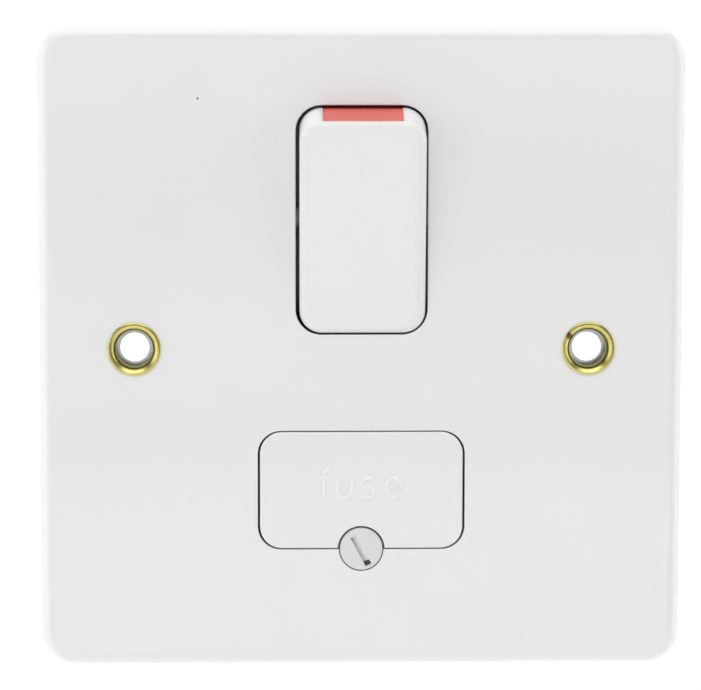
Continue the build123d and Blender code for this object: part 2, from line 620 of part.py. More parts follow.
# The neutral load terminal carries the neutral arm's fulcrum
with BuildPart() as neutral_load_terminal:
    with BuildSketch(at_depth(BLOCK_REAR)):
        with Locations((BLOCK_X, OPENING_Z)):
            Rectangle(BLOCK_WIDTH, BLOCK_HEIGHT)
    extrude(amount=BLOCK_DEPTH)
    with BuildSketch(at_depth(CHAMBER_FLOOR)):
        with Locations((NEUTRAL_X - STRAP_WIDTH / 2, OPENING_Z)):
            Rectangle(STRAP_REACH, STRAP_WIDTH, align=(Align.MIN, Align.CENTER))
    extrude(amount=STRAP_THICKNESS)
    with BuildSketch(side_plane(NEUTRAL_X, 0, OPENING_Z)) as fulcrum_profile:
        with Locations((0, CHAMBER_FLOOR)):
            Rectangle(2 * FULCRUM_R, ARM_AXIS_DEPTH - CHAMBER_FLOOR, align=(Align.CENTER, Align.MIN))
        with Locations((0, ARM_AXIS_DEPTH)):
            Circle(FULCRUM_R)
    extrude(amount=ARM_WIDTH / 2, both=True)
    with BuildSketch(side_plane(OUTER_FACE)):
        with Locations((OPENING_Z, WIRE_DEPTH)):
            Circle(WIRE_R)
    extrude(amount=-BORE_DEPTH, mode=Mode.SUBTRACT)
    with BuildSketch(at_depth(BLOCK_REAR)):
        with Locations((BLOCK_X, OPENING_Z)):
            Circle(TERMINAL_THREAD_R + TERMINAL_SCREW_CLEARANCE)
    extrude(amount=WIRE_DEPTH - BLOCK_REAR, mode=Mode.SUBTRACT)

# Link from the live arm's fulcrum to the fuse
BAY_TOP = CARRIER_Z + CARRIER_HEIGHT / 2
BAY_BOTTOM = SCREW_Z + INSERT_R + 1.2
RISER_Z = BAY_TOP + 1.8
LINK_FRONT = BAY_FLOOR + STRAP_THICKNESS
CLIP_INNER = FUSE_CAP_R + CLIP_CLEARANCE
with BuildPart() as live_link:
    with BuildSketch(side_plane(LIVE_X)):
        with Locations((RISER_Z, CHAMBER_FLOOR)):
            Rectangle(OPENING_Z + STRAP_WIDTH / 2 - RISER_Z, STRAP_THICKNESS, align=(Align.MIN, Align.MIN))
            Rectangle(STRAP_THICKNESS, LINK_FRONT - CHAMBER_FLOOR, align=(Align.MIN, Align.MIN))
        with Locations((RISER_Z + STRAP_THICKNESS, BAY_FLOOR)):
            Rectangle(
                RISER_Z + STRAP_THICKNESS - FUSE_Z + CLIP_INNER,
                STRAP_THICKNESS,
                align=(Align.MAX, Align.MIN),
            )
    extrude(amount=STRAP_WIDTH / 2, both=True)
    with BuildSketch(side_plane(LIVE_X, 0, OPENING_Z)):
        add(fulcrum_profile.sketch_local)
    extrude(amount=ARM_WIDTH / 2, both=True)
    with BuildSketch(at_depth(BAY_FLOOR)):
        with Locations((LIVE_X, FUSE_Z)):
            Rectangle(CLIP_X + CLIP_WIDTH / 2 + LIVE_X, 2 * CLIP_INNER, align=(Align.MAX, Align.CENTER))
    extrude(amount=STRAP_THICKNESS)

# The live load terminal reaches up to the other fuse clip
with BuildPart() as live_load_terminal:
    with BuildSketch(at_depth(BLOCK_REAR)):
        with Locations((BLOCK_X, LOAD_Z)):
            Rectangle(BLOCK_WIDTH, BLOCK_HEIGHT)
    extrude(amount=BLOCK_DEPTH)
    with BuildSketch(at_depth(BLOCK_FRONT)):
        with Locations((INNER_FACE, FUSE_Z)):
            Rectangle(STRAP_THICKNESS, STRAP_WIDTH, align=(Align.MIN, Align.CENTER))
    extrude(amount=LINK_FRONT - BLOCK_FRONT)
    with BuildSketch(at_depth(BAY_FLOOR)):
        with Locations((INNER_FACE, FUSE_Z)):
            Rectangle(INNER_FACE - CLIP_X + CLIP_WIDTH / 2, STRAP_WIDTH, align=(Align.MAX, Align.CENTER))
    extrude(amount=STRAP_THICKNESS)
    with BuildSketch(side_plane(OUTER_FACE)):
        with Locations((LOAD_Z, WIRE_DEPTH)):
            Circle(WIRE_R)
    extrude(amount=-BORE_DEPTH, mode=Mode.SUBTRACT)
    with BuildSketch(at_depth(BLOCK_REAR)):
        with Locations((BLOCK_X, LOAD_Z)):
            Circle(TERMINAL_THREAD_R + TERMINAL_SCREW_CLEARANCE)
    extrude(amount=WIRE_DEPTH - BLOCK_REAR, mode=Mode.SUBTRACT)

# Earth terminal with two wire holes
EARTH_HOLES = [EARTH_Z - EARTH_PITCH / 2, EARTH_Z + EARTH_PITCH / 2]
with BuildPart() as earth_terminal:
    with BuildSketch(at_depth(BLOCK_REAR)):
        with Locations((-BLOCK_X, EARTH_Z)):
            Rectangle(BLOCK_WIDTH, 2 * EARTH_HALF)
    extrude(amount=BLOCK_DEPTH)
    with BuildSketch(side_plane(-OUTER_FACE)):
        with Locations(*[(z, WIRE_DEPTH) for z in EARTH_HOLES]):
            Circle(WIRE_R)
    extrude(amount=BORE_DEPTH, mode=Mode.SUBTRACT)
    with BuildSketch(at_depth(BLOCK_REAR)):
        with Locations(*[(-BLOCK_X, z) for z in EARTH_HOLES]):
            Circle(TERMINAL_THREAD_R + TERMINAL_SCREW_CLEARANCE)
    extrude(amount=WIRE_DEPTH - BLOCK_REAR, mode=Mode.SUBTRACT)

# Terminal screws, backed off clear of the wire holes
SINGLE_PLACES = [(BLOCK_X, SUPPLY_Z), (BLOCK_X, OPENING_Z), (BLOCK_X, LOAD_Z), (-BLOCK_X, SUPPLY_Z)]
TERMINAL_PLACES = SINGLE_PLACES + [(-BLOCK_X, z) for z in EARTH_HOLES]
TERMINAL_HEAD_FRONT = BLOCK_REAR - BLOCK_CLEARANCE
with BuildPart() as terminal_screws:
    with BuildSketch(at_depth(TERMINAL_HEAD_FRONT)):
        with Locations(*TERMINAL_PLACES):
            Circle(TERMINAL_HEAD_R)
    extrude(amount=-TERMINAL_HEAD_HEIGHT)
    with BuildSketch(at_depth(TERMINAL_HEAD_FRONT)):
        with Locations(*TERMINAL_PLACES):
            Circle(TERMINAL_THREAD_R)
    extrude(amount=WIRE_DEPTH - WIRE_R - 0.1 - TERMINAL_HEAD_FRONT)
    with BuildSketch(at_depth(TERMINAL_HEAD_FRONT - TERMINAL_HEAD_HEIGHT)):
        with Locations(*TERMINAL_PLACES):
            Rectangle(2 * TERMINAL_HEAD_R, TERMINAL_SLOT)
    extrude(amount=TERMINAL_HEAD_HEIGHT / 2, mode=Mode.SUBTRACT)

# Fuse clips, open to the front with flared tips
CLIP_TIP = FUSE_DEPTH + FUSE_CAP_R / 2
CLIP_HEIGHT = CLIP_TIP - LINK_FRONT
with BuildSketch(side_plane(0, 0, FUSE_Z)) as clip_profile:
    with Locations((0, LINK_FRONT)):
        Rectangle(2 * (CLIP_INNER + CLIP_WALL), CLIP_HEIGHT, align=(Align.CENTER, Align.MIN))
    with Locations((0, LINK_FRONT + CLIP_WALL)):
        Rectangle(2 * CLIP_INNER, CLIP_HEIGHT, align=(Align.CENTER, Align.MIN), mode=Mode.SUBTRACT)
    for side in (-1, 1):
        Polygon(
            (side * CLIP_INNER, CLIP_TIP),
            (side * (CLIP_INNER + CLIP_WALL), CLIP_TIP),
            (side * (CLIP_INNER + CLIP_WALL + CLIP_FLARE / 2), CLIP_TIP + CLIP_FLARE),
            (side * (CLIP_INNER + CLIP_FLARE / 2), CLIP_TIP + CLIP_FLARE),
            align=None,
        )
with BuildPart() as supply_fuse_clip:
    with BuildSketch(side_plane(-CLIP_X, 0, FUSE_Z)):
        add(clip_profile.sketch_local)
    extrude(amount=CLIP_WIDTH / 2, both=True)
with BuildPart() as load_fuse_clip:
    with BuildSketch(side_plane(CLIP_X, 0, FUSE_Z)):
        add(clip_profile.sketch_local)
    extrude(amount=CLIP_WIDTH / 2, both=True)

# Cartridge fuse
with BuildPart() as fuse_body:
    with BuildSketch(side_plane(0, FUSE_DEPTH, FUSE_Z)):
        Circle(FUSE_TUBE_R)
    extrude(amount=FUSE_LENGTH / 2 - FUSE_END_WALL, both=True)
with BuildPart() as fuse_cap_left:
    with BuildSketch(side_plane(-FUSE_LENGTH / 2, FUSE_DEPTH, FUSE_Z)):
        Circle(FUSE_CAP_R)
    extrude(amount=FUSE_CAP_LENGTH)
    fillet(fuse_cap_left.faces().sort_by(Axis.X)[0].edges(), FUSE_END_WALL / 2)
    with BuildSketch(side_plane(-FUSE_LENGTH / 2 + FUSE_END_WALL, FUSE_DEPTH, FUSE_Z)):
        Circle(FUSE_TUBE_R + FUSE_FIT)
    extrude(amount=FUSE_CAP_LENGTH, mode=Mode.SUBTRACT)
with BuildPart() as fuse_cap_right:
    with BuildSketch(side_plane(FUSE_LENGTH / 2, FUSE_DEPTH, FUSE_Z)):
        Circle(FUSE_CAP_R)
    extrude(amount=-FUSE_CAP_LENGTH)
    fillet(fuse_cap_right.faces().sort_by(Axis.X)[-1].edges(), FUSE_END_WALL / 2)
    with BuildSketch(side_plane(FUSE_LENGTH / 2 - FUSE_END_WALL, FUSE_DEPTH, FUSE_Z)):
        Circle(FUSE_TUBE_R + FUSE_FIT)
    extrude(amount=-FUSE_CAP_LENGTH, mode=Mode.SUBTRACT)

# Fuse carrier: flange, guides, saddle and the lug under the screw head
SADDLE_HALF = FUSE_TUBE_R + FUSE_FIT + SADDLE_WALL
SADDLE_REAR = FUSE_DEPTH - SADDLE_GRIP
FLANGE_HALF = CARRIER_WIDTH / 2 - CARRIER_SIDE_GAP
FLANGE_TOP = CARRIER_Z + CARRIER_HEIGHT / 2 - CARRIER_GAP
FLANGE_BOTTOM = CARRIER_Z - CARRIER_HEIGHT / 2 + CARRIER_GAP
GUIDE_HALF = FLANGE_HALF - CARRIER_CORNER
with BuildPart() as fuse_carrier:
    with BuildSketch(at_depth(CARRIER_BACK)):
        with Locations((0, CARRIER_Z)):
            RectangleRounded(2 * FLANGE_HALF, FLANGE_TOP - FLANGE_BOTTOM, CARRIER_CORNER - CARRIER_GAP)
    extrude(amount=CARRIER_FLANGE)
    with BuildSketch(at_depth(SCREW_SEAT)):
        with Locations((0, SCREW_Z)):
            Circle(SCREW_HEAD_R + SCREW_POCKET_GAP)
    extrude(amount=CARRIER_FLANGE, mode=Mode.SUBTRACT)
    fillet(fuse_carrier.faces().sort_by(Axis.Y)[0].edges(), CARRIER_EDGE)
    with BuildSketch(at_depth(SCREW_SEAT - LUG_THICKNESS)):
        with Locations((0, SCREW_Z)):
            Circle(SCREW_HEAD_R)
    extrude(amount=LUG_THICKNESS)
    with BuildSketch(at_depth(SCREW_SEAT - LUG_THICKNESS)):
        with Locations((0, SCREW_Z)):
            Circle(SCREW_SHANK_R + SCREW_HOLE_CLEARANCE)
    extrude(amount=LUG_THICKNESS, mode=Mode.SUBTRACT)
    with BuildSketch(at_depth(CARRIER_BACK - GUIDE_LENGTH)):
        with Locations((0, FLANGE_TOP)):
            Rectangle(2 * GUIDE_HALF, GUIDE_WALL, align=(Align.CENTER, Align.MAX))
        with Locations((-GUIDE_HALF, FLANGE_BOTTOM)):
            Rectangle(GUIDE_HALF / 2, GUIDE_WALL, align=(Align.MIN, Align.MIN))
        with Locations((GUIDE_HALF, FLANGE_BOTTOM)):
            Rectangle(GUIDE_HALF / 2, GUIDE_WALL, align=(Align.MAX, Align.MIN))
    extrude(amount=GUIDE_LENGTH)
    with BuildSketch(at_depth(SADDLE_REAR)):
        with Locations((0, FUSE_Z)):
            Rectangle(SADDLE_LENGTH, 2 * SADDLE_HALF)
    extrude(amount=CARRIER_BACK - SADDLE_REAR)
    with BuildSketch(side_plane(0, FUSE_DEPTH, FUSE_Z)):
        Circle(FUSE_TUBE_R + FUSE_FIT)
    extrude(amount=SADDLE_LENGTH / 2, both=True, mode=Mode.SUBTRACT)

# Carrier screw with a closed slot that deepens to one end
with BuildPart() as carrier_screw:
    with BuildSketch(at_depth(SCREW_SEAT)):
        with Locations((0, SCREW_Z)):
            Circle(SCREW_HEAD_R)
    extrude(amount=SCREW_HEAD_HEIGHT)
    fillet(carrier_screw.faces().sort_by(Axis.Y)[0].edges(), CARRIER_EDGE)
    with BuildSketch(at_depth(SCREW_TIP_DEPTH)):
        with Locations((0, SCREW_Z)):
            Circle(SCREW_SHANK_R)
    extrude(amount=SCREW_SEAT - SCREW_TIP_DEPTH)
    slot_plane = Plane(
        origin=(0, -(PLATE_DEPTH - SCREW_SUNK), SCREW_Z),
        x_dir=(-sin(radians(SLOT_TURN)), 0, cos(radians(SLOT_TURN))),
        z_dir=(cos(radians(SLOT_TURN)), 0, sin(radians(SLOT_TURN))),
    )
    with BuildSketch(slot_plane):
        Polygon(
            (-SLOT_LENGTH / 2, 1),
            (-SLOT_LENGTH / 2, -SLOT_DEEP),
            (SLOT_LENGTH / 2, -SLOT_SHALLOW),
            (SLOT_LENGTH / 2, 1),
            align=None,
        )
    extrude(amount=SLOT_WIDTH / 2, both=True, mode=Mode.SUBTRACT)

# Ring that keeps the screw in the carrier
RETAINER_REAR = BASE_FRONT + 0.1
with BuildPart() as screw_retainer:
    with BuildSketch(at_depth(RETAINER_REAR)):
        with Locations((0, SCREW_Z)):
            Circle(RETAINER_R)
            Circle(SCREW_SHANK_R + RETAINER_CLEARANCE, mode=Mode.SUBTRACT)
    extrude(amount=RETAINER_HEIGHT)

# Threaded insert for the carrier screw
INSERT_FRONT = BASE_FRONT - 0.2
with BuildPart() as screw_insert:
    with BuildSketch(at_depth(INSERT_FRONT)):
        with Locations((0, SCREW_Z)):
            Circle(INSERT_R)
            Circle(SCREW_SHANK_R + SCREW_HOLE_CLEARANCE, mode=Mode.SUBTRACT)
    extrude(amount=-INSERT_LENGTH)

# Base moulding: a block with towers for the terminals, hollowed from the front
TOWER_HALF = BLOCK_HEIGHT / 2 + BLOCK_CLEARANCE + TOWER_WALL
POCKET_WIDTH = BLOCK_WIDTH + 2 * BLOCK_CLEARANCE
TOWER_INNER = INNER_FACE - BLOCK_CLEARANCE - TOWER_WALL
TOWER_WIDTH = BASE_HALF - TOWER_INNER
BASE_CENTRE_Z = (BASE_TOP + BASE_BOTTOM) / 2
CHAMBER_BOTTOM = OPENING_Z - CHAMBER_HEIGHT / 2
WINDOW_HEIGHT = STRAP_THICKNESS + 0.3
CORE_HALF = TOWER_INNER - RIB_WALL
CORE_HEIGHT = BAY_TOP - BASE_BOTTOM - 2 * BASE_REAR_WALL
LINK_SIDE = LIVE_X + STRAP_WIDTH / 2 + 0.2
with BuildPart() as base_moulding:
    with BuildSketch(at_depth(BASE_REAR)):
        with Locations((0, BASE_CENTRE_Z)):
            RectangleRounded(2 * BASE_HALF, BASE_TOP - BASE_BOTTOM, BASE_CORNER)
    extrude(amount=BASE_FRONT - BASE_REAR)
    with BuildSketch(at_depth(TOWER_REAR)) as towers:
        with Locations((BASE_HALF, SUPPLY_Z + TOWER_HALF)):
            Rectangle(TOWER_WIDTH, SUPPLY_Z - OPENING_Z + 2 * TOWER_HALF, align=(Align.MAX, Align.MAX))
        with Locations((BASE_HALF, LOAD_Z)):
            Rectangle(TOWER_WIDTH, 2 * TOWER_HALF, align=(Align.MAX, Align.CENTER))
        with Locations((-BASE_HALF, SUPPLY_Z)):
            Rectangle(TOWER_WIDTH, 2 * TOWER_HALF, align=(Align.MIN, Align.CENTER))
        with Locations((-BASE_HALF, EARTH_Z)):
            Rectangle(TOWER_WIDTH, 2 * TOWER_HALF + EARTH_PITCH, align=(Align.MIN, Align.CENTER))
        fillet(towers.vertices(), TOWER_CORNER)
    extrude(amount=BASE_REAR - TOWER_REAR)
    fillet(base_moulding.faces().filter_by(Axis.Y).group_by(Axis.Y)[-1].edges(), BASE_EDGE)
    # walls of the switch chamber, up to the plate
    with BuildSketch(at_depth(BASE_FRONT)):
        with Locations((0, OPENING_Z)):
            RectangleRounded(2 * CHEEK_X, CHAMBER_HEIGHT + 2 * CHAMBER_WALL, CHAMBER_WALL)
    extrude(amount=CHEEK_FRONT - BASE_FRONT)
    with BuildSketch(at_depth(CHAMBER_FLOOR)):
        with Locations((0, OPENING_Z)):
            Rectangle(CHAMBER_WIDTH, CHAMBER_HEIGHT)
    extrude(amount=CHEEK_FRONT - CHAMBER_FLOOR, mode=Mode.SUBTRACT)
    # barrier between the poles
    with BuildSketch(at_depth(CHAMBER_FLOOR)):
        with Locations((0, OPENING_Z)):
            Rectangle(BARRIER_WALL, CHAMBER_HEIGHT)
    extrude(amount=PIVOT_DEPTH - BARRIER_BELOW_PIVOT - CHAMBER_FLOOR)
    # bearings of the rocker, open to the front
    with BuildSketch(side_plane(0, PIVOT_DEPTH, OPENING_Z)):
        Circle(TRUNNION_R + TRUNNION_CLEARANCE)
        Rectangle(2 * (TRUNNION_R + TRUNNION_CLEARANCE), PLATE_DEPTH, align=(Align.CENTER, Align.MIN))
    extrude(amount=CHEEK_X, both=True, mode=Mode.SUBTRACT)
    # fuse bay and the channel of the live link
    with BuildSketch(at_depth(BAY_FLOOR)):
        with Locations((0, (BAY_TOP + BAY_BOTTOM) / 2)):
            Rectangle(2 * BAY_HALF, BAY_TOP - BAY_BOTTOM)
        with Locations((BAY_HALF, FUSE_Z)):
            Rectangle(INNER_FACE - BAY_HALF, STRAP_WIDTH + 0.4, align=(Align.MIN, Align.CENTER))
    extrude(amount=BASE_FRONT - BAY_FLOOR, mode=Mode.SUBTRACT)
    with BuildSketch(at_depth(CHAMBER_FLOOR)):
        with Locations((LIVE_X, CHAMBER_BOTTOM)):
            Rectangle(STRAP_WIDTH + 0.4, CHAMBER_BOTTOM - BAY_TOP, align=(Align.CENTER, Align.MAX))
    extrude(amount=BASE_FRONT - CHAMBER_FLOOR, mode=Mode.SUBTRACT)
    # pockets of the terminals
    with BuildSketch(at_depth(BLOCK_REAR - BLOCK_CLEARANCE)):
        with Locations(*SINGLE_PLACES):
            Rectangle(POCKET_WIDTH, BLOCK_HEIGHT + 2 * BLOCK_CLEARANCE)
        with Locations((-BLOCK_X, EARTH_Z)):
            Rectangle(POCKET_WIDTH, 2 * (EARTH_HALF + BLOCK_CLEARANCE))
    extrude(amount=BASE_FRONT - BLOCK_REAR + BLOCK_CLEARANCE, mode=Mode.SUBTRACT)
    # windows for the straps
    with BuildSketch(at_depth(CHAMBER_FLOOR)):
        with Locations((0, SUPPLY_Z)):
            Rectangle(2 * INNER_FACE, STRAP_WIDTH + 0.4)
        with Locations((0, OPENING_Z)):
            Rectangle(INNER_FACE, STRAP_WIDTH + 0.4, align=(Align.MIN, Align.CENTER))
    extrude(amount=WINDOW_HEIGHT, mode=Mode.SUBTRACT)
    # wire ports in the sides and screw access at the rear
    with BuildSketch(side_plane(BASE_HALF)):
        with Locations(*[(z, WIRE_DEPTH) for x, z in TERMINAL_PLACES if x > 0]):
            Circle(PORT_R)
    extrude(amount=OUTER_FACE - BASE_HALF, mode=Mode.SUBTRACT)
    with BuildSketch(side_plane(-BASE_HALF)):
        with Locations(*[(z, WIRE_DEPTH) for x, z in TERMINAL_PLACES if x < 0]):
            Circle(PORT_R)
    extrude(amount=BASE_HALF - OUTER_FACE, mode=Mode.SUBTRACT)
    with BuildSketch(at_depth(TOWER_REAR)):
        with Locations(*TERMINAL_PLACES):
            Circle(TERMINAL_ACCESS_R)
    extrude(amount=BLOCK_REAR - TOWER_REAR, mode=Mode.SUBTRACT)
    # coring from the rear, with a rib behind the fuse bay
    with BuildSketch(at_depth(BASE_REAR)) as bay_core:
        with Locations((0, BAY_TOP - BASE_REAR_WALL)):
            Rectangle(2 * CORE_HALF, CORE_HEIGHT, align=(Align.CENTER, Align.MAX))
            Rectangle(RIB_WALL, CORE_HEIGHT, align=(Align.CENTER, Align.MAX), mode=Mode.SUBTRACT)
        fillet(bay_core.vertices(), CORE_CORNER)
    extrude(amount=BAY_FLOOR - BASE_REAR_WALL - BASE_REAR, mode=Mode.SUBTRACT)
    with BuildSketch(at_depth(BASE_REAR)) as middle_core:
        with Locations((CORE_HALF, BAY_TOP + BASE_REAR_WALL)):
            Rectangle(
                CORE_HALF - LINK_SIDE - BASE_REAR_WALL,
                CHAMBER_BOTTOM - BAY_TOP - 2 * BASE_REAR_WALL,
                align=(Align.MAX, Align.MIN),
            )
        fillet(middle_core.vertices(), CORE_CORNER)
    extrude(amount=BASE_FRONT - BASE_REAR_WALL - BASE_REAR, mode=Mode.SUBTRACT)
    # seat of the threaded insert
    with BuildSketch(at_depth(INSERT_FRONT - INSERT_LENGTH)):
        with Locations((0, SCREW_Z)):
            Circle(INSERT_R)
    extrude(amount=BASE_FRONT - INSERT_FRONT + INSERT_LENGTH, mode=Mode.SUBTRACT)
    # ears for the base screws
    with BuildSketch(at_depth(BASE_FRONT)):
        for x, z in POSTS:
            with Locations((x, z)):
                Circle(EAR_R)
            with Locations(((BASE_HALF + POST_X) / 2 * (1 if x > 0 else -1), z)):
                Rectangle(POST_X - BASE_HALF + 1, 2 * EAR_R)
    extrude(amount=-EAR_THICKNESS)
    with BuildSketch(at_depth(BASE_FRONT)):
        with Locations(*POSTS):
            Circle(BASE_SCREW_R + BASE_SCREW_CLEARANCE)
    extrude(amount=-EAR_THICKNESS, mode=Mode.SUBTRACT)

# Base screws, driven from the rear into the plate's posts
with BuildPart() as base_screws:
    with BuildSketch(at_depth(BASE_FRONT - EAR_THICKNESS)):
        with Locations(*POSTS):
            Circle(BASE_SCREW_HEAD_R)
    extrude(amount=-BASE_SCREW_HEAD_HEIGHT)
    with BuildSketch(at_depth(BASE_FRONT - EAR_THICKNESS)):
        with Locations(*POSTS):
            Circle(BASE_SCREW_R)
    extrude(amount=EAR_THICKNESS + BASE_SCREW_REACH - 0.3)

pieces = {
    "front_plate": front_plate,
    "eyelet_left": eyelet_left,
    "eyelet_right": eyelet_right,
    "earth_strap": earth_strap,
    "earth_terminal": earth_terminal,
    "base_moulding": base_moulding,
    "base_screws": base_screws,
    "live_supply_terminal": live_supply_terminal,
    "neutral_supply_terminal": neutral_supply_terminal,
    "live_load_terminal": live_load_terminal,
    "neutral_load_terminal": neutral_load_terminal,
    "terminal_screws": terminal_screws,
    "live_link": live_link,
    "live_fixed_contact": live_fixed_contact,
    "neutral_fixed_contact": neutral_fixed_contact,
    "supply_fuse_clip": supply_fuse_clip,
    "load_fuse_clip": load_fuse_clip,
    "screw_insert": screw_insert,
    "rocker": rocker,
    "on_flash": on_flash,
    "live_plunger": live_plunger,
    "neutral_plunger": neutral_plunger,
    "live_spring": live_spring,
    "neutral_spring": neutral_spring,
    "live_contact_arm": live_contact_arm,
    "neutral_contact_arm": neutral_contact_arm,
    "live_moving_contact": live_moving_contact,
    "neutral_moving_contact": neutral_moving_contact,
    "fuse_carrier": fuse_carrier,
    "fuse_body": fuse_body,
    "fuse_cap_left": fuse_cap_left,
    "fuse_cap_right": fuse_cap_right,
    "carrier_screw": carrier_screw,
    "screw_retainer": screw_retainer,
}
os.makedirs("parts", exist_ok=True)
for name, piece in pieces.items():
    piece.part.label = name
    export_step(piece.part, f"parts/{name}.step")
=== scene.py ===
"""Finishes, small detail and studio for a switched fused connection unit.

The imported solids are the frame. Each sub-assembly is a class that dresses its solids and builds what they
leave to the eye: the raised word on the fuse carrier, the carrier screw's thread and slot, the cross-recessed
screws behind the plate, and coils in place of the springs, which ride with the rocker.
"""

import logging
import math
from collections.abc import Iterator, Sequence
from dataclasses import dataclass, field
from enum import Enum
from functools import cached_property

import bmesh
import bpy
from mathutils import Matrix, Vector


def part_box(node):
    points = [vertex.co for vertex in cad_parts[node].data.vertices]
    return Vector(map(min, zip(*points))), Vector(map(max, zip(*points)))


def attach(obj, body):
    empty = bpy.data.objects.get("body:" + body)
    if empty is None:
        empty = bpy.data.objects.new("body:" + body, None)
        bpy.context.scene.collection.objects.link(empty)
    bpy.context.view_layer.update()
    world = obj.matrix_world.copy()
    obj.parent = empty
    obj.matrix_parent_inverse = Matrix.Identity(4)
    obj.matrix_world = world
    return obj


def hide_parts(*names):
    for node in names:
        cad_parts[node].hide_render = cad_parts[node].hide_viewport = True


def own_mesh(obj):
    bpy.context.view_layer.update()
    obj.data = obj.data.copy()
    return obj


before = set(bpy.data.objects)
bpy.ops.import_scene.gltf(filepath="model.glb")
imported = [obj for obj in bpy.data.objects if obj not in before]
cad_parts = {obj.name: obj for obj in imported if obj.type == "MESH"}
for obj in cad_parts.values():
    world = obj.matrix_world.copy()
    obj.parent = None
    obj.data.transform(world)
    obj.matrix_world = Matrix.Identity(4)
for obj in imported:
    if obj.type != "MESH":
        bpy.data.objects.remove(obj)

MM = 0.001
MICRON = 0.000001
IMAGE_WIDTH = 701
SENSOR_WIDTH = 36.0

# Edges that turn by more degrees than this stay sharp.
CREASE = 35.0

# The places of a colour mix and of a vector mix among a mix node's sockets.
MIX_FIRST = 6
MIX_SECOND = 7
MIX_RESULT = 2
MIX_FIRST_VECTOR = 4
MIX_SECOND_VECTOR = 5
MIX_VECTOR = 1

log = logging.getLogger("fused_unit")

Point = tuple[float, float]
Place = tuple[float, float, float]
SocketValue = float | Sequence[float] | bpy.types.NodeSocket


def linear(colour: str) -> tuple[float, float, float, float]:
    """Turns an sRGB hex colour into linear light.

    Args:
        colour: The colour as "#rrggbb".

    Returns:
        Red, green and blue in linear light, and an alpha of one.
    """
    channels = [int(colour[start:start + 2], 16) / 255 for start in (1, 3, 5)]
    red, green, blue = (c / 12.92 if c <= 0.04045 else ((c + 0.055) / 1.055) ** 2.4 for c in channels)
    return red, green, blue, 1.0


def per_metre(size_mm: float) -> float:
    """Gives the texture scale of a pattern whose features are that many millimetres wide."""
    return 1 / (size_mm * MM)


def add_node(
    tree: bpy.types.NodeTree,
    kind: str,
    inputs: dict[str | int, SocketValue] | None = None,
    **settings: str | bool,
) -> bpy.types.Node:
    """Adds a shader node with its settings, values and links.

    Args:
        tree: The node tree that takes it.
        kind: The node's type.
        inputs: A value, or the output to link, for each input by its name or number.
        **settings: Properties of the node itself.

    Returns:
        The new node.
    """
    node = tree.nodes.new(kind)
    for name, setting in settings.items():
        setattr(node, name, setting)
    for key, value in (inputs or {}).items():
        if isinstance(value, bpy.types.NodeSocket):
            tree.links.new(value, node.inputs[key])
        else:
            node.inputs[key].default_value = value
    return node


def mix_colours(
    tree: bpy.types.NodeTree, share: bpy.types.NodeSocket, below: SocketValue, above: SocketValue
) -> bpy.types.NodeSocket:
    """Lays one colour over another.

    Args:
        tree: The material's node tree.
        share: How much of the upper colour shows.
        below: The lower colour.
        above: The upper colour.

    Returns:
        The mixed colour.
    """
    mix = add_node(
        tree, "ShaderNodeMix", {0: share, MIX_FIRST: below, MIX_SECOND: above}, data_type="RGBA"
    )
    return mix.outputs[MIX_RESULT]


def arc(centre: Point, radii: Point, start: float, end: float, steps: int = 14) -> list[Point]:
    """Gives points along an elliptic arc.

    Args:
        centre: The middle of the ellipse.
        radii: Its half width and half height.
        start: The angle of the first point, in degrees.
        end: The angle of the last point, in degrees.
        steps: How many chords the arc has.

    Returns:
        The points from start to end.
    """
    angles = [math.radians(start + (end - start) * step / steps) for step in range(steps + 1)]
    return [(centre[0] + radii[0] * math.cos(a), centre[1] + radii[1] * math.sin(a)) for a in angles]


def make_object(name: str, mesh: bpy.types.Mesh) -> bpy.types.Object:
    """Puts a mesh into the scene as an object of that name."""
    made = bpy.data.objects.new(name, mesh)
    bpy.context.collection.objects.link(made)
    return made


def make_mesh(name: str, shape: bmesh.types.BMesh) -> bpy.types.Mesh:
    """Turns a bmesh into a smooth mesh with sharp creases.

    Args:
        name: The mesh's name.
        shape: The bmesh, which is freed.

    Returns:
        The mesh.
    """
    mesh = bpy.data.meshes.new(name)
    bmesh.ops.recalc_face_normals(shape, faces=shape.faces)
    shape.to_mesh(mesh)
    shape.free()
    mesh.shade_smooth()
    mesh.set_sharp_from_angle(angle=math.radians(CREASE))
    return mesh


def loft(shape: bmesh.types.BMesh, rings: Sequence[Sequence[Place]]) -> None:
    """Joins closed rings of equally many points into one closed skin.

    Args:
        shape: The bmesh that takes the faces.
        rings: The points of each ring in millimetres, from one end to the other.
    """
    loops = [[shape.verts.new(Vector(point) * MM) for point in ring] for ring in rings]
    for below, above in zip(loops, loops[1:]):
        for step in range(len(below)):
            after = (step + 1) % len(below)
            shape.faces.new((below[step], below[after], above[after], above[step]))
    shape.faces.new(loops[0])
    shape.faces.new(loops[-1])


def turn_profile(shape: bmesh.types.BMesh, profile: Sequence[Point], steps: int = 48) -> None:
    """Turns a profile about the Z axis.

    Args:
        shape: The bmesh that takes the turned faces.
        profile: Points of radius and height, in metres, the first and last on the axis.
        steps: How many facets go round.
    """
    line = [shape.verts.new((radius, 0, height)) for radius, height in profile]
    edges = [shape.edges.new(pair) for pair in zip(line, line[1:])]
    bmesh.ops.spin(
        shape, geom=line + edges, cent=(0, 0, 0), axis=(0, 0, 1), angle=math.tau, steps=steps
    )
    bmesh.ops.remove_doubles(shape, verts=shape.verts, dist=0.01 * MICRON)


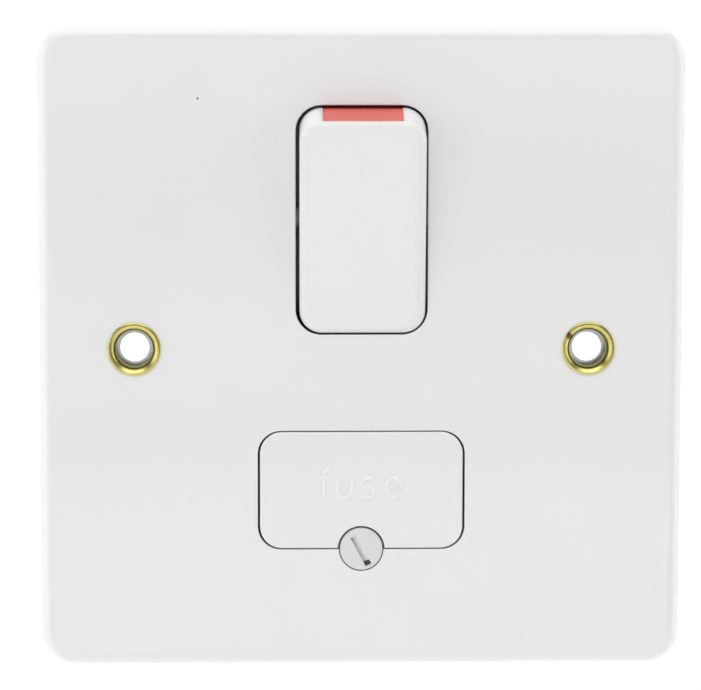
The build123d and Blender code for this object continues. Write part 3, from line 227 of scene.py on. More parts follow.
def cut_out(body: bpy.types.Object, cutter: bpy.types.Object) -> None:
    """Cuts one mesh object out of another.

    Args:
        body: The object that is cut.
        cutter: The object that is taken away, and then removed.
    """
    cut = body.modifiers.new("cut", "BOOLEAN")
    cut.object = cutter
    cut.operation = "DIFFERENCE"
    cut.solver = "EXACT"
    graph = bpy.context.evaluated_depsgraph_get()
    body.data = bpy.data.meshes.new_from_object(body.evaluated_get(graph))
    body.modifiers.clear()
    bpy.data.objects.remove(cutter)


@dataclass(frozen=True)
class Stain:
    """A small ragged mark at one place on a surface, in millimetres.

    It wanders by one share of its radius and fades over another.
    """

    at: Place
    radius: float
    colour: str
    ragged: float = 0.6
    fade: float = 0.5

    def over(
        self, tree: bpy.types.NodeTree, place: bpy.types.NodeSocket, below: bpy.types.NodeSocket
    ) -> bpy.types.NodeSocket:
        """Lays the mark over a colour.

        Args:
            tree: The material's node tree.
            place: The point on the surface.
            below: The colour under the mark.

        Returns:
            The colour with the mark on it.
        """
        centre = tuple(value * MM for value in self.at)
        away = add_node(tree, "ShaderNodeVectorMath", {0: place, 1: centre}, operation="DISTANCE")
        edge = add_node(
            tree, "ShaderNodeTexNoise", {"Vector": place, "Scale": per_metre(self.radius), "Detail": 2.0}
        )
        wander = add_node(
            tree,
            "ShaderNodeMath",
            {0: edge.outputs["Fac"], 1: -2 * self.ragged * self.radius * MM, 2: away.outputs["Value"]},
            operation="MULTIPLY_ADD",
        )
        reach = self.radius * MM * (1 - self.ragged)
        cover = add_node(
            tree,
            "ShaderNodeMapRange",
            {
                "Value": wander.outputs[0],
                "From Min": reach,
                "From Max": reach - self.fade * self.radius * MM,
            },
            interpolation_type="SMOOTHSTEP",
        )
        return mix_colours(tree, cover.outputs[0], below, linear(self.colour))


@dataclass(frozen=True)
class DepthShadeAndTarnish:
    """A darkening that deepens along Y, between two places in millimetres: painted shade down a bore, partly
    tarnish where nothing rubs.
    """

    starts: float
    full: float
    colour: str

    def over(
        self, tree: bpy.types.NodeTree, place: bpy.types.NodeSocket, below: bpy.types.NodeSocket
    ) -> bpy.types.NodeSocket:
        """Lays the painted shade and tarnish over a colour.

        Args:
            tree: The material's node tree.
            place: The point on the surface.
            below: The colour under the painted shade.

        Returns:
            The colour with the painted shade and tarnish on it.
        """
        # Painted shade, partly tarnish: the colour darkens with depth along Y down the bore.
        split = add_node(tree, "ShaderNodeSeparateXYZ", {0: place})
        cover = add_node(
            tree,
            "ShaderNodeMapRange",
            {
                "Value": split.outputs["Y"],
                "From Min": self.starts * MM,
                "From Max": self.full * MM,
            },
            interpolation_type="SMOOTHSTEP",
        )
        return mix_colours(tree, cover.outputs[0], below, linear(self.colour))


@dataclass(frozen=True)
class Finish:
    """A material and how its surface was made."""

    name: str
    colour: str
    roughness: float

    @cached_property
    def material(self) -> bpy.types.Material:
        """The Blender material, built when it is first used."""
        made = bpy.data.materials.new(self.name)
        made.use_nodes = True
        shader = made.node_tree.nodes["Principled BSDF"]
        self.dress(made.node_tree, shader)
        return made

    def dress(self, tree: bpy.types.NodeTree, shader: bpy.types.Node) -> None:
        """Sets the shader and adds the surface's pattern.

        Args:
            tree: The material's node tree.
            shader: Its surface shader.
        """
        raise NotImplementedError

    def put_on(self, *nodes: str) -> None:
        """Gives this finish to nodes of the frame.

        Args:
            *nodes: The names of the nodes.
        """
        for name in nodes:
            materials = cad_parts[name].data.materials
            materials.clear()
            materials.append(self.material)
            log.info("%s: %s", name, self.name)


@dataclass(frozen=True)
class Moulded(Finish):
    """A plastic or ceramic body with soft clouding, an uneven gloss and a faint ripple.

    Its edges are as soft as polishing left them, over so many millimetres, but only beyond a distance from
    the object's middle.
    """

    ior: float
    cloud_colour: str
    cloud_mm: float = 15.0
    gloss_spread: float = 0.015
    ripple_mm: float = 1.4
    ripple_height: float = 0.35
    overlays: tuple[Stain, ...] = ()
    soft_edge_mm: float = 0.0
    soft_beyond_mm: float = 0.0
    soft_fade_mm: float = 1.0

    def soften(self, tree: bpy.types.NodeTree, place: bpy.types.NodeSocket) -> bpy.types.NodeSocket:
        """Softens the edges.

        Args:
            tree: The material's node tree.
            place: The point on the surface.

        Returns:
            The softened normal.
        """
        plain = add_node(tree, "ShaderNodeNewGeometry").outputs["Normal"]
        polished = add_node(tree, "ShaderNodeBevel", {"Radius": self.soft_edge_mm * MM}).outputs[0]
        spread = add_node(tree, "ShaderNodeVectorMath", {0: place}, operation="ABSOLUTE")
        split = add_node(tree, "ShaderNodeSeparateXYZ", {0: spread.outputs[0]})
        away = add_node(
            tree, "ShaderNodeMath", {0: split.outputs["X"], 1: split.outputs["Z"]}, operation="MAXIMUM"
        )
        share = add_node(
            tree,
            "ShaderNodeMapRange",
            {
                "Value": away.outputs[0],
                "From Min": (self.soft_beyond_mm - self.soft_fade_mm) * MM,
                "From Max": self.soft_beyond_mm * MM,
            },
        )
        mix = add_node(
            tree,
            "ShaderNodeMix",
            {0: share.outputs[0], MIX_FIRST_VECTOR: plain, MIX_SECOND_VECTOR: polished},
            data_type="VECTOR",
        )
        return mix.outputs[MIX_VECTOR]

    def dress(self, tree: bpy.types.NodeTree, shader: bpy.types.Node) -> None:
        """Sets a solid gloss and adds clouding, marks and ripple.

        Args:
            tree: The material's node tree.
            shader: Its surface shader.
        """
        shader.inputs["IOR"].default_value = self.ior
        place = add_node(tree, "ShaderNodeTexCoord").outputs["Object"]
        cloud = add_node(
            tree, "ShaderNodeTexNoise", {"Vector": place, "Scale": per_metre(self.cloud_mm), "Detail": 5.0}
        )
        colour = mix_colours(tree, cloud.outputs["Fac"], linear(self.colour), linear(self.cloud_colour))
        for overlay in self.overlays:
            colour = overlay.over(tree, place, colour)
        tree.links.new(colour, shader.inputs["Base Color"])
        gloss = add_node(
            tree,
            "ShaderNodeMapRange",
            {
                "Value": cloud.outputs["Fac"],
                "To Min": self.roughness - self.gloss_spread,
                "To Max": self.roughness + self.gloss_spread,
            },
        )
        tree.links.new(gloss.outputs[0], shader.inputs["Roughness"])
        ripple = add_node(
            tree, "ShaderNodeTexNoise", {"Vector": place, "Scale": per_metre(self.ripple_mm), "Detail": 2.0}
        )
        bump = add_node(
            tree,
            "ShaderNodeBump",
            {"Height": ripple.outputs["Fac"], "Strength": 1.0, "Distance": self.ripple_height * MICRON},
        )
        if self.soft_edge_mm:
            tree.links.new(self.soften(tree, place), bump.inputs["Normal"])
        tree.links.new(bump.outputs["Normal"], shader.inputs["Normal"])


class Grain(Enum):
    """How far a metal's working marks are drawn out along each axis."""

    ALONG_X = (0.06, 1.0, 1.0)
    ALONG_Z = (1.0, 1.0, 0.06)
    EVEN = (1.0, 1.0, 1.0)


@dataclass(frozen=True)
class Worked(Finish):
    """A metal with the marks of its working and a film of tarnish."""

    tarnish_colour: str
    grain: Grain = Grain.EVEN
    grain_mm: float = 0.25
    grain_height: float = 1.0
    gloss_spread: float = 0.08
    tarnish_mm: float = 2.5
    tarnish_share: float = 0.5
    tarnish_from: float = 0.3
    tarnish_to: float = 0.75
    # Real stains, and painted shade that darkens down a bore.
    overlays: tuple[Stain | DepthShadeAndTarnish, ...] = ()

    def dress(self, tree: bpy.types.NodeTree, shader: bpy.types.Node) -> None:
        """Sets a metal and adds its tarnish, marks and grain.

        Args:
            tree: The material's node tree.
            shader: Its surface shader.
        """
        shader.inputs["Metallic"].default_value = 1.0
        place = add_node(tree, "ShaderNodeTexCoord").outputs["Object"]
        film = add_node(
            tree,
            "ShaderNodeTexNoise",
            {"Vector": place, "Scale": per_metre(self.tarnish_mm), "Detail": 6.0, "Roughness": 0.6},
        )
        share = add_node(
            tree,
            "ShaderNodeMapRange",
            {
                "Value": film.outputs["Fac"],
                "From Min": self.tarnish_from,
                "From Max": self.tarnish_to,
                "To Max": self.tarnish_share,
            },
        )
        colour = mix_colours(tree, share.outputs[0], linear(self.colour), linear(self.tarnish_colour))
        for overlay in self.overlays:
            colour = overlay.over(tree, place, colour)
        tree.links.new(colour, shader.inputs["Base Color"])
        drawn = add_node(tree, "ShaderNodeVectorMath", {0: place, 1: self.grain.value}, operation="MULTIPLY")
        marks = add_node(
            tree,
            "ShaderNodeTexNoise",
            {"Vector": drawn.outputs[0], "Scale": per_metre(self.grain_mm), "Detail": 3.0},
        )
        gloss = add_node(
            tree,
            "ShaderNodeMapRange",
            {
                "Value": marks.outputs["Fac"],
                "To Min": self.roughness - self.gloss_spread,
                "To Max": self.roughness + self.gloss_spread,
            },
        )
        tree.links.new(gloss.outputs[0], shader.inputs["Roughness"])
        bump = add_node(
            tree,
            "ShaderNodeBump",
            {"Height": marks.outputs["Fac"], "Strength": 1.0, "Distance": self.grain_height * MICRON},
        )
        tree.links.new(bump.outputs["Normal"], shader.inputs["Normal"])


@dataclass(frozen=True)
class Paper(Finish):
    """Matt backdrop paper that glows enough to stay white."""

    glow: float
    fibre_mm: float = 3.0
    tooth_mm: float = 0.1

    def dress(self, tree: bpy.types.NodeTree, shader: bpy.types.Node) -> None:
        """Sets a matt glowing white and adds the paper's tooth.

        Args:
            tree: The material's node tree.
            shader: Its surface shader.
        """
        shader.inputs["Base Color"].default_value = linear(self.colour)
        shader.inputs["Roughness"].default_value = self.roughness
        shader.inputs["Emission Color"].default_value = linear(self.colour)
        shader.inputs["Emission Strength"].default_value = self.glow
        place = add_node(tree, "ShaderNodeTexCoord").outputs["Object"]
        tooth = add_node(
            tree, "ShaderNodeTexNoise", {"Vector": place, "Scale": per_metre(self.fibre_mm), "Detail": 4.0}
        )
        bump = add_node(
            tree, "ShaderNodeBump", {"Height": tooth.outputs["Fac"], "Distance": self.tooth_mm * MM}
        )
        tree.links.new(bump.outputs["Normal"], shader.inputs["Normal"])


# Urea formaldehyde pressed in a polished mould: a hard cold white with a clear gloss. The ripple of the
# polished steel is drawn over three times too high, because its true tenth of a micron wouldn't show.
GLOSS_UREA = Moulded("urea_moulded_gloss", "#E6E6E5", 0.08, 1.56, cloud_colour="#E3E3E3")

# The same pressing with the one speck of dirt that the plate carries.
PLATE_UREA = Moulded(
    "urea_moulded_gloss_plate",
    "#E6E6E5",
    0.08,
    1.56,
    cloud_colour="#E3E3E3",
    overlays=(Stain(at=(-21.6, -9.0, 33.2), radius=0.22, colour="#8C8A86"),),
    soft_edge_mm=0.9,
    soft_beyond_mm=39.0,
)

# The rocker's pressing, polished until its crest and its flanks run softly into its face.
ROCKER_UREA = Moulded(
    "urea_moulded_gloss_rocker", "#E6E6E5", 0.08, 1.56, cloud_colour="#E3E3E3", soft_edge_mm=1.4
)

# The same urea on the raised word, painted a little lighter than the face round it: a painted highlight on
# its strokes.
HIGHLIT_WORD_UREA = Moulded("urea_moulded_gloss_raised", "#EBEBEA", 0.08, 1.56, cloud_colour="#E8E8E7")

# Red urea pressed as a thin inlay: the same clear gloss, so strong light washes its colour out.
RED_UREA = Moulded("urea_red_moulded", "#D8665B", 0.2, 1.56, cloud_colour="#D05A50", cloud_mm=4.0)

# Nylon moulded in a blasted mould: a greyer white than urea, satin and a little waxy.
SATIN_NYLON = Moulded(
    "nylon_moulded_satin",
    "#DDDDDB",
    0.34,
    1.53,
    cloud_colour="#D6D6D3",
    cloud_mm=3.0,
    ripple_mm=0.3,
    ripple_height=1.5,
)

# Urea moulded in a spark-eroded mould: a dull warm white with a fine even grain. The grain of thirty microns
# is drawn four times as wide so that it shows.
GRAINED_UREA = Moulded(
    "urea_moulded_grained",
    "#DBDAD5",
    0.45,
    1.56,
    cloud_colour="#D3D2CC",
    cloud_mm=9.0,
    ripple_mm=0.12,
    ripple_height=3.0,
)

# Glazed ceramic: chalk white under a thin glass skin, with the slow waves of a poured glaze.
GLAZED_CERAMIC = Moulded(
    "ceramic_glazed",
    "#ECEAE4",
    0.12,
    1.5,
    cloud_colour="#E3E0D8",
    cloud_mm=5.0,
    ripple_mm=1.8,
    ripple_height=2.0,
)

# Brass drawn and flared over a mandrel: a pale greenish-yellow metal, painted darker olive down the bore,
# partly tarnish where nothing rubs it and partly painted shade, and one brown spot at the edge of the
# right-hand eyelet.
FLARED_BRASS = Worked(
    "brass_flared_tarnished",
    "#E3D992",
    0.3,
    tarnish_colour="#C0B464",
    grain_mm=0.35,
    grain_height=3.0,
    tarnish_mm=1.6,
    tarnish_share=0.8,
    overlays=(
        # Painted shade darkening down the bore, partly tarnish where nothing rubs.
        DepthShadeAndTarnish(starts=-9.4, full=-8.6, colour="#87822F"),
        Stain(at=(27.55, -9.1, 1.75), radius=0.55, colour="#6A5433"),
    ),
)

# Brass cut from bar: yellow, with the saw's and the drill's fine lines across it.
CUT_BRASS = Worked(
    "brass_machined_bar", "#D9BE6B", 0.3, tarnish_colour="#B08F3F", grain=Grain.ALONG_X, grain_height=3.0
)

# Brass rolled hard and pressed: smooth and yellow, with the roll's long faint lines.
ROLLED_BRASS = Worked(
    "brass_rolled_sheet", "#DDC373", 0.22, tarnish_colour="#B99A4A", grain=Grain.ALONG_Z, grain_mm=0.18
)

# Silver alloy riveted and coined: a soft white metal with a thin yellowish film.
COINED_SILVER = Worked(
    "silver_coined_contact", "#E4E1DA", 0.28, tarnish_colour="#B7AE97", grain_mm=0.15, tarnish_mm=0.8
)

# Steel strip with bright zinc plate: cool grey, cloudy in spangles of about a millimetre.
ZINC_STEEL = Worked(
    "steel_zinc_plated", "#DEDFE0", 0.17, tarnish_colour="#CBCDCF", grain=Grain.ALONG_X, tarnish_mm=1.1
)

# Spring wire drawn through a die: darker grey, with fine lines along the coil.
DRAWN_STEEL = Worked(
    "steel_spring_drawn", "#A9A8A4", 0.26, tarnish_colour="#85837E", grain_mm=0.08, tarnish_mm=1.5
)

# Brass caps with bright nickel plate: a warm white mirror with faint rub marks.
NICKEL_PLATE = Worked(
    "nickel_plated_cap", "#D2CFC6", 0.16, tarnish_colour="#B9B4A6", grain=Grain.ALONG_X, gloss_spread=0.05
)

# White background paper: quite matt, and lit up to plain white.
SWEEP_PAPER = Paper("paper_matt_sweep", "#F4F4F4", 0.9, glow=0.31)


@dataclass
class WallPlate:
    """The square front plate, with its two brass fixing eyelets."""

    finish: Finish = PLATE_UREA
    eyelet_finish: Finish = FLARED_BRASS

    def build(self) -> None:
        """Dresses the plate and the eyelets."""
        self.finish.put_on("front_plate")
        self.eyelet_finish.put_on("eyelet_left", "eyelet_right")


@dataclass
class RockerSwitch:
    """The rocker and the double-pole switch that it works.

    The plungers' lean with the resting rocker, in degrees, and how many millimetres they go into its stems
    are not used.
    """

    plunger_lean: float = 6.5
    plunger_travel: float = 0.8
    finish: Finish = ROCKER_UREA
    flash_finish: Finish = RED_UREA
    spring_finish: Finish = DRAWN_STEEL

    def make_spring(self, pole: str) -> None:
        """Puts a coil in place of a pole's spring, which rides with the rocker.

        Args:
            pole: live or neutral.
        """
        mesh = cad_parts[f"{pole}_spring"].data.copy()
        mesh.materials.clear()
        mesh.materials.append(self.spring_finish.material)
        coil = make_object(f"{pole}_coil", mesh)
        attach(coil, "rocker")
        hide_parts(f"{pole}_spring")
        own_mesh(coil)

    def build(self) -> None:
        """Dresses the rocker, its flash and the switch parts behind it, and makes the springs."""
        self.finish.put_on("rocker")
        self.flash_finish.put_on("on_flash")
        for pole in ("live", "neutral"):
            SATIN_NYLON.put_on(f"{pole}_plunger")
            self.make_spring(pole)
            ROLLED_BRASS.put_on(f"{pole}_contact_arm")
            COINED_SILVER.put_on(f"{pole}_moving_contact", f"{pole}_fixed_contact")


@dataclass
class FuseCarrier:
    """The pull-out carrier with its cartridge fuse, its screw and the raised word on its face.

    The word's sizes are millimetres along the middle of its rounded strokes, across and up the plate. The
    shares are of half a letter's width.
    """

    base_line: float = -19.98
    letter_height: float = 2.62
    ascent: float = 1.16
    f_stem: float = -4.94
    u_middle: float = -2.18
    s_middle: float = 0.95
    e_middle: float = 4.35
    letter_half: float = 0.94
    hook_share: float = 0.6
    bar_shares: Point = (0.6, 0.8)
    s_share: float = 0.88
    stroke_radius: float = 0.3
    stroke_proud: float = 0.13
    finish: Finish = GLOSS_UREA
    # A lighter copy of the urea: painted highlight on the word's strokes.
    word_finish: Finish = HIGHLIT_WORD_UREA

    def strokes(self) -> Iterator[list[Point]]:
        """Gives the strokes of the word fuse.

        Yields:
            The points of one stroke.
        """
        base = self.base_line
        top = base + self.letter_height
        middle = (base + top) / 2
        half = self.letter_half
        quarter = self.letter_height / 4
        hook = self.hook_share * half
        left, right = (share * half for share in self.bar_shares)
        wide = self.s_share * half
        hook_middle = (self.f_stem + hook, top + self.ascent - hook)
        yield [(self.f_stem, base), *arc(hook_middle, (hook, hook), 180, 75)]
        yield [(self.f_stem - left, top), (self.f_stem + right, top)]
        bowl = arc((self.u_middle, base + half), (half, half), 180, 360)
        yield [(self.u_middle - half, top), *bowl, (self.u_middle + half, top)]
        upper = arc((self.s_middle, middle + quarter), (wide, quarter), 25, 270)
        lower = arc((self.s_middle, middle - quarter), (wide, quarter), 90, -155)
        yield upper + lower[1:]
        ring = arc((self.e_middle, middle), (half, 2 * quarter), 0, 315, steps=30)
        yield [(self.e_middle - half, middle), *ring]

    def raise_word(self) -> None:
        """Lays the word's rounded strokes on the carrier's face."""
        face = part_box("fuse_carrier")[0][1]
        depth = face + (self.stroke_radius - self.stroke_proud) * MM
        line = bpy.data.curves.new("carrier_word", "CURVE")
        line.dimensions = "3D"
        line.bevel_depth = self.stroke_radius * MM
        line.bevel_resolution = 4
        line.use_fill_caps = True
        for stroke in self.strokes():
            spline = line.splines.new("POLY")
            spline.points.add(len(stroke) - 1)
            for point, (across, up) in zip(spline.points, stroke):
                point.co = (across * MM, depth, up * MM, 1)
        drawn = make_object("carrier_word_line", line)
        graph = bpy.context.evaluated_depsgraph_get()
        mesh = bpy.data.meshes.new_from_object(drawn.evaluated_get(graph))
        bpy.data.objects.remove(drawn)
        mesh.shade_smooth()
        mesh.materials.clear()
        mesh.materials.append(self.word_finish.material)
        word = make_object("carrier_word", mesh)
        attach(word, "carrier")
        log.info("%s: %d faces", word.name, len(mesh.polygons))

    def build(self) -> None:
        """Dresses the carrier, its fuse and its clips, and raises the word."""
        self.finish.put_on("fuse_carrier")
        GLAZED_CERAMIC.put_on("fuse_body")
        NICKEL_PLATE.put_on("fuse_cap_left", "fuse_cap_right")
        ROLLED_BRASS.put_on("supply_fuse_clip", "load_fuse_clip")
        self.raise_word()


@dataclass
class CarrierScrew:
    """The captive screw of the fuse carrier, with its cut thread and its slot.

    Heights are millimetres from the tip. The slot lies a little off the head's middle, its floor slopes up
    from one side to the other, and its lower end falls into a pocket. The blades that cut it start above the
    head.
    """

    head_height: float = 2.1
    head_round: float = 0.25
    shank_radius: float = 1.5
    thread_depth: float = 0.3
    thread_pitch: float = 0.5
    thread_end: float = 3.3
    tip_chamfer: float = 0.35
    slot_length: float = 4.4
    slot_width: float = 0.86
    slot_turn: float = 28.0
    slot_middle: Point = (-0.14, -0.2)
    slot_depths: Point = (0.62, 0.06)
    pocket_length: float = 0.7
    pocket_depths: Point = (1.8, 1.8)
    blade_above: float = 0.5
    facets: int = 48
    rows_per_turn: int = 8
    finish: Finish = SATIN_NYLON

    def thread_radius(self, height: float, turn: float) -> float:
        """Gives the radius of the shank at one place on its right-hand thread.

        Args:
            height: The place's height above the tip.
            turn: The place's share of a turn about the axis.

        Returns:
            The radius in millimetres.
        """
        phase = (height / self.thread_pitch - turn) % 1.0
        valley = 1 - abs(2 * phase - 1)
        cut = min(1.0, max(0.0, (self.thread_end - height) / self.thread_pitch))
        worn = max(0.0, self.tip_chamfer - height)
        return self.shank_radius - max(self.thread_depth * valley * cut, worn)

    def make_body(self, length: float, head_radius: float) -> bpy.types.Object:
        """Makes the screw without its slot, standing on its tip.

        Args:
            length: The screw's length in millimetres.
            head_radius: The radius of its head in millimetres.

        Returns:
            The body.
        """
        steps = self.facets
        seat = length - self.head_height
        middle = (head_radius - self.head_round, length - self.head_round)
        rounded = arc(middle, (self.head_round, self.head_round), 0, 90, steps=6)
        rows = int(self.thread_end / self.thread_pitch * self.rows_per_turn)
        outlines = []
        for row in range(rows + 1):
            height = self.thread_end * row / rows
            outlines.append([(self.thread_radius(height, step / steps), height) for step in range(steps)])
        for point in [(self.shank_radius, seat), (head_radius, seat), *rounded]:
            outlines.append([point] * steps)
        turns = [math.tau * step / steps for step in range(steps)]
        shape = bmesh.new()
        loft(shape, [
            [
                (radius * math.cos(turn), radius * math.sin(turn), height)
                for turn, (radius, height) in zip(turns, outline)
            ]
            for outline in outlines
        ])
        return make_object("carrier_screw_threaded", make_mesh("carrier_screw_threaded", shape))

    def make_blade(self, length: float, ends: Point, depths: Point) -> bpy.types.Object:
        """Makes a blade that cuts one stretch of the slot.

        Args:
            length: The screw's length in millimetres.
            ends: Where the stretch starts and stops along the slot, from its middle.
            depths: How deep it cuts along its left and its right side.

        Returns:
            The blade, in its place over the head.
        """
        half = self.slot_width / 2
        above = self.blade_above
        section = [(-half, above), (-half, -depths[0]), (half, -depths[1]), (half, above)]
        shape = bmesh.new()
        loft(shape, [[(across, along, up) for across, up in section] for along in ends])
        placed = Matrix.Translation(Vector((*self.slot_middle, 0)) * MM)
        turned = Matrix.Rotation(math.radians(self.slot_turn), 4, "Z")
        raised = Matrix.Translation((0, 0, length * MM))
        bmesh.ops.transform(shape, verts=shape.verts, matrix=raised @ turned @ placed)
        return make_object("slot_blade", make_mesh("slot_blade", shape))

    def build(self) -> None:
        """Builds the screw in place of the plain one, and dresses its ring and its insert."""
        low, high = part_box("carrier_screw")
        length = (high[1] - low[1]) / MM
        screw = self.make_body(length, (high[0] - low[0]) / 2 / MM)
        half = self.slot_length / 2
        pocket_end = self.pocket_length - half
        cut_out(screw, self.make_blade(length, (-half, half), self.slot_depths))
        cut_out(screw, self.make_blade(length, (-half, pocket_end), self.pocket_depths))
        seat = Vector(((low[0] + high[0]) / 2, high[1], (low[2] + high[2]) / 2))
        facing_front = Matrix.Rotation(math.pi / 2, 4, "X")
        screw.data.transform(Matrix.Translation(seat) @ facing_front)
        screw.data.set_sharp_from_angle(angle=math.radians(CREASE))
        screw.data.materials.clear()
        screw.data.materials.append(self.finish.material)
        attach(screw, "carrier_screw")
        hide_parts("carrier_screw")
        self.finish.put_on("carrier_screw", "screw_retainer")
        CUT_BRASS.put_on("screw_insert")
        log.info("%s: %d faces", screw.name, len(screw.data.polygons))


@dataclass
class RearBase:
    """The rear moulding with its terminals, links and the screws that hold it to the plate.

    The screws' sizes are millimetres. Their recesses are turned by degrees, each screw's differently.
    """

    head_radius: float = 2.7
    head_height: float = 1.8
    head_side: float = 0.7
    shank_radius: float = 1.4
    recess_length: float = 3.1
    recess_width: float = 0.75
    recess_depth: float = 1.25
    recess_taper: float = 0.5
    recess_mouth: float = 1.15
    blade_above: float = 0.5
    recess_turns: Point = (20.0, 110.0)
    spin_step: float = 37.0

    def recess_blade(self, turn: float) -> bpy.types.Object:
        """Makes one tapered blade of the cross recess.

        Args:
            turn: The blade's angle about the screw's axis, in degrees.

        Returns:
            The blade, ready to be cut out of a head.
        """
        floor = self.head_height - self.recess_depth
        rings = []
        mouth = self.head_height + self.blade_above
        for height, share in ((floor, self.recess_taper), (mouth, self.recess_mouth)):
            long, wide = self.recess_length / 2 * share, self.recess_width / 2 * share
            corners = ((-long, -wide), (long, -wide), (long, wide), (-long, wide))
            rings.append([(x, y, height) for x, y in corners])
        shape = bmesh.new()
        loft(shape, rings)
        bmesh.ops.rotate(shape, verts=shape.verts, matrix=Matrix.Rotation(math.radians(turn), 3, "Z"))
        return make_object("recess_blade", make_mesh("recess_blade", shape))

    def make_screws(self) -> None:
        """Builds the four pan-head screws in place of the plain ones."""
        low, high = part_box("base_screws")
        reach = high[1] - low[1] - self.head_height * MM
        crown = arc((0, self.head_side), (self.head_radius, self.head_height - self.head_side), 0, 90)
        outline = [(0, -reach / MM), (self.shank_radius, -reach / MM), (self.shank_radius, 0)]
        outline += [(self.head_radius, 0), *crown[:-1], (0, self.head_height)]
        shape = bmesh.new()
        turn_profile(shape, [(radius * MM, height * MM) for radius, height in outline])
        pattern = make_object("base_screw", make_mesh("base_screw", shape))
        for turn in self.recess_turns:
            cut_out(pattern, self.recess_blade(turn))
        inset = self.head_radius * MM
        facing_rear = Matrix.Rotation(-math.pi / 2, 4, "X")
        joined = bmesh.new()
        for number, (across, up) in enumerate(
            (x, z) for x in (low[0] + inset, high[0] - inset) for z in (low[2] + inset, high[2] - inset)
        ):
            copy = pattern.data.copy()
            seat = Vector((across, high[1] - self.head_height * MM, up))
            spin = Matrix.Rotation(math.radians(self.spin_step * number), 4, "Z")
            copy.transform(Matrix.Translation(seat) @ facing_rear @ spin)
            joined.from_mesh(copy)
        bpy.data.objects.remove(pattern)
        mesh = make_mesh("base_screws_recessed", joined)
        mesh.materials.clear()
        mesh.materials.append(ZINC_STEEL.material)
        screws = make_object("base_screws_recessed", mesh)
        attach(screws, "unit")
        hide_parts("base_screws")
        log.info("%s: %d faces", screws.name, len(mesh.polygons))

    def build(self) -> None:
        """Dresses the base and what is screwed to it, and builds its screws."""
        GRAINED_UREA.put_on("base_moulding")
        ZINC_STEEL.put_on("earth_strap", "base_screws")
        CUT_BRASS.put_on("earth_terminal", "terminal_screws")
        for pole in ("live", "neutral"):
            CUT_BRASS.put_on(f"{pole}_supply_terminal", f"{pole}_load_terminal")
        ROLLED_BRASS.put_on("live_link")
        self.make_screws()


@dataclass(frozen=True)
class SoftBox:
    """A flat soft light of the tent, in metres, that shines along its facing."""

    name: str
    at: Place
    facing: Place
    width: float
    height: float
    radiance: float

    def light(self) -> None:
        """Hangs the light and turns it to its facing."""
        lamp = bpy.data.lights.new(self.name, "AREA")
        lamp.shape = "RECTANGLE"
        lamp.size = self.width
        lamp.size_y = self.height
        lamp.energy = self.radiance * math.pi * self.width * self.height
        hung = bpy.data.objects.new(self.name, lamp)
        hung.location = self.at
        hung.rotation_euler = Vector(self.facing).to_track_quat("-Z", "Y").to_euler()
        hung.visible_camera = False
        bpy.context.collection.objects.link(hung)
        log.info("%s: radiance %.2f", self.name, self.radiance)


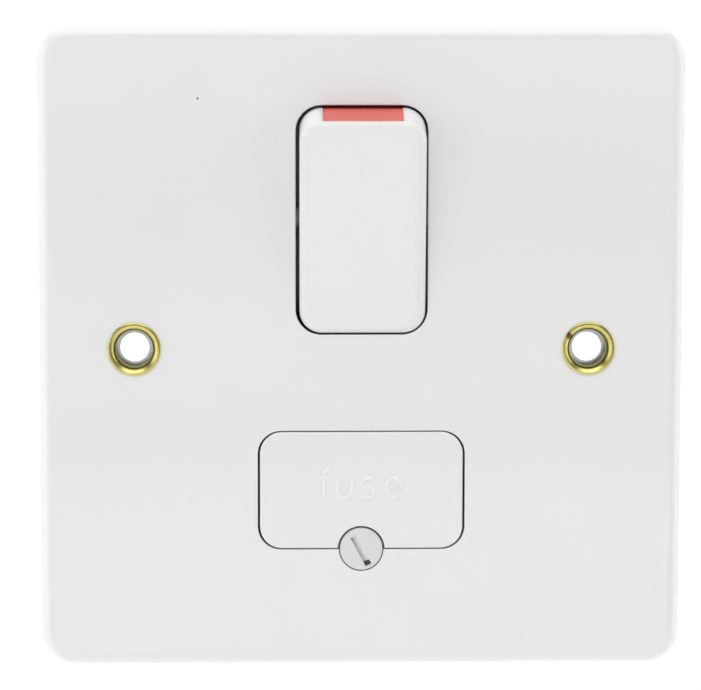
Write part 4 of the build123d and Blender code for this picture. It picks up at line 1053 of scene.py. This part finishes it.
@dataclass
class Studio:
    """A white paper sweep in a tent of soft light, and the camera in front of it.

    The front of the tent is three panels with narrow gaps between them, which the plate's gloss shows as soft
    darker bands. The camera's place is in millimetres, its angles in degrees, and the sweep is in metres. The
    world lights the tent by its ambient strength, and the camera sees the backdrop's strength past the sweep.
    """

    camera_at: Place = (-12.99, -440.0, 53.78)
    yaw: float = 1.53
    pitch: float = -7.039
    roll: float = 0.083
    focal_pixels: float = 3274.7
    sweep_floor: float = -0.62
    sweep_back: float = 1.3
    sweep_front: float = -1.6
    sweep_top: float = 2.4
    sweep_radius: float = 0.45
    sweep_half_width: float = 2.6
    ambient: float = 0.115
    backdrop: float = 1.05
    clip_start: float = 0.01
    boxes: tuple[SoftBox, ...] = field(
        default=(
            SoftBox("front_upper", (0.03, -1.1, 0.0605), (0, 1, 0), 0.75, 0.175, 0.65),
            SoftBox("front_middle", (0.03, -1.1, -0.136), (0, 1, 0), 0.75, 0.072, 0.6),
            SoftBox("front_lower", (0.03, -1.1, -0.305), (0, 1, 0), 0.75, 0.23, 1),
            SoftBox("top", (0.0, 0.0, 1.1), (0, 0, -1), 1.6, 1.4, 1.62),
            SoftBox("top_front", (0.0, -0.85, 0.95), (0, 0.85, -0.95), 1.2, 0.7, 2.45),
            SoftBox("low_front", (0.0, -0.62, -0.6), (0, 0.62, 0.6), 1.4, 0.3, 0.2),
            SoftBox("left", (-1.15, -0.1, 0.1), (1, 0, 0), 1.3, 1.2, 1.5),
            SoftBox("right", (1.15, -0.1, 0.1), (-1, 0, 0), 1.3, 1.2, 1.68),
            SoftBox("left_front", (-0.95, -0.85, 0.0), (0.95, 0.85, 0), 0.8, 1.0, 1),
        )
    )

    def lay_sweep(self) -> None:
        """Lays the paper sweep under and behind the object."""
        bend_middle = (self.sweep_back - self.sweep_radius, self.sweep_floor + self.sweep_radius)
        bend = arc(bend_middle, (self.sweep_radius, self.sweep_radius), -90, 0)
        line = [(self.sweep_front, self.sweep_floor), *bend, (self.sweep_back, self.sweep_top)]
        shape = bmesh.new()
        edges = [
            [shape.verts.new((side * self.sweep_half_width, y, z)) for y, z in line] for side in (-1, 1)
        ]
        for step in range(len(line) - 1):
            shape.faces.new((edges[0][step], edges[1][step], edges[1][step + 1], edges[0][step + 1]))
        mesh = make_mesh("paper_sweep", shape)
        mesh.materials.append(SWEEP_PAPER.material)
        sweep = make_object("paper_sweep", mesh)
        log.info("%s: %s", sweep.name, SWEEP_PAPER.name)

    def fill_world(self) -> None:
        """Fills the tent with even light and shows plain white beyond it."""
        world = bpy.data.worlds.new("tent")
        world.use_nodes = True
        tree = world.node_tree
        tree.nodes.clear()
        seen = add_node(tree, "ShaderNodeLightPath").outputs["Is Camera Ray"]
        strength = add_node(
            tree, "ShaderNodeMapRange", {"Value": seen, "To Min": self.ambient, "To Max": self.backdrop}
        )
        glow = add_node(
            tree, "ShaderNodeBackground", {"Color": linear("#FFFFFF"), "Strength": strength.outputs[0]}
        )
        add_node(tree, "ShaderNodeOutputWorld", {"Surface": glow.outputs[0]})
        bpy.context.scene.world = world

    def place_camera(self) -> None:
        """Places the camera where the photograph was taken from."""
        yaw, pitch, roll = (math.radians(angle) for angle in (self.yaw, self.pitch, self.roll))
        ahead = Vector((
            math.sin(yaw) * math.cos(pitch), math.cos(yaw) * math.cos(pitch), math.sin(pitch)
        ))
        level = Vector((math.cos(yaw), -math.sin(yaw), 0))
        right = Matrix.Rotation(-roll, 3, ahead) @ level
        up = right.cross(ahead)
        camera = bpy.data.cameras.new("camera")
        camera.sensor_fit = "HORIZONTAL"
        camera.sensor_width = SENSOR_WIDTH
        camera.lens = SENSOR_WIDTH * self.focal_pixels / IMAGE_WIDTH
        camera.clip_start = self.clip_start
        camera.dof.use_dof = False
        held = bpy.data.objects.new("camera", camera)
        turned = Matrix((right, up, -ahead)).transposed().to_4x4()
        held.matrix_world = Matrix.Translation(Vector(self.camera_at) * MM) @ turned
        bpy.context.collection.objects.link(held)
        bpy.context.scene.camera = held

    def build(self) -> None:
        """Sets the sweep, the lights and the camera, with colours shown as they are."""
        bpy.context.scene.view_settings.view_transform = "Standard"
        self.lay_sweep()
        self.fill_world()
        for box in self.boxes:
            box.light()
        self.place_camera()


def main() -> None:
    """Builds the unit's sub-assemblies and the studio in order."""
    logging.basicConfig(level=logging.INFO, format="%(name)s %(message)s")
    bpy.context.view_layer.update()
    for assembly in (WallPlate(), RockerSwitch(), FuseCarrier(), CarrierScrew(), RearBase(), Studio()):
        log.info("building %s", type(assembly).__name__)
        assembly.build()


if __name__ == "__main__":
    main()
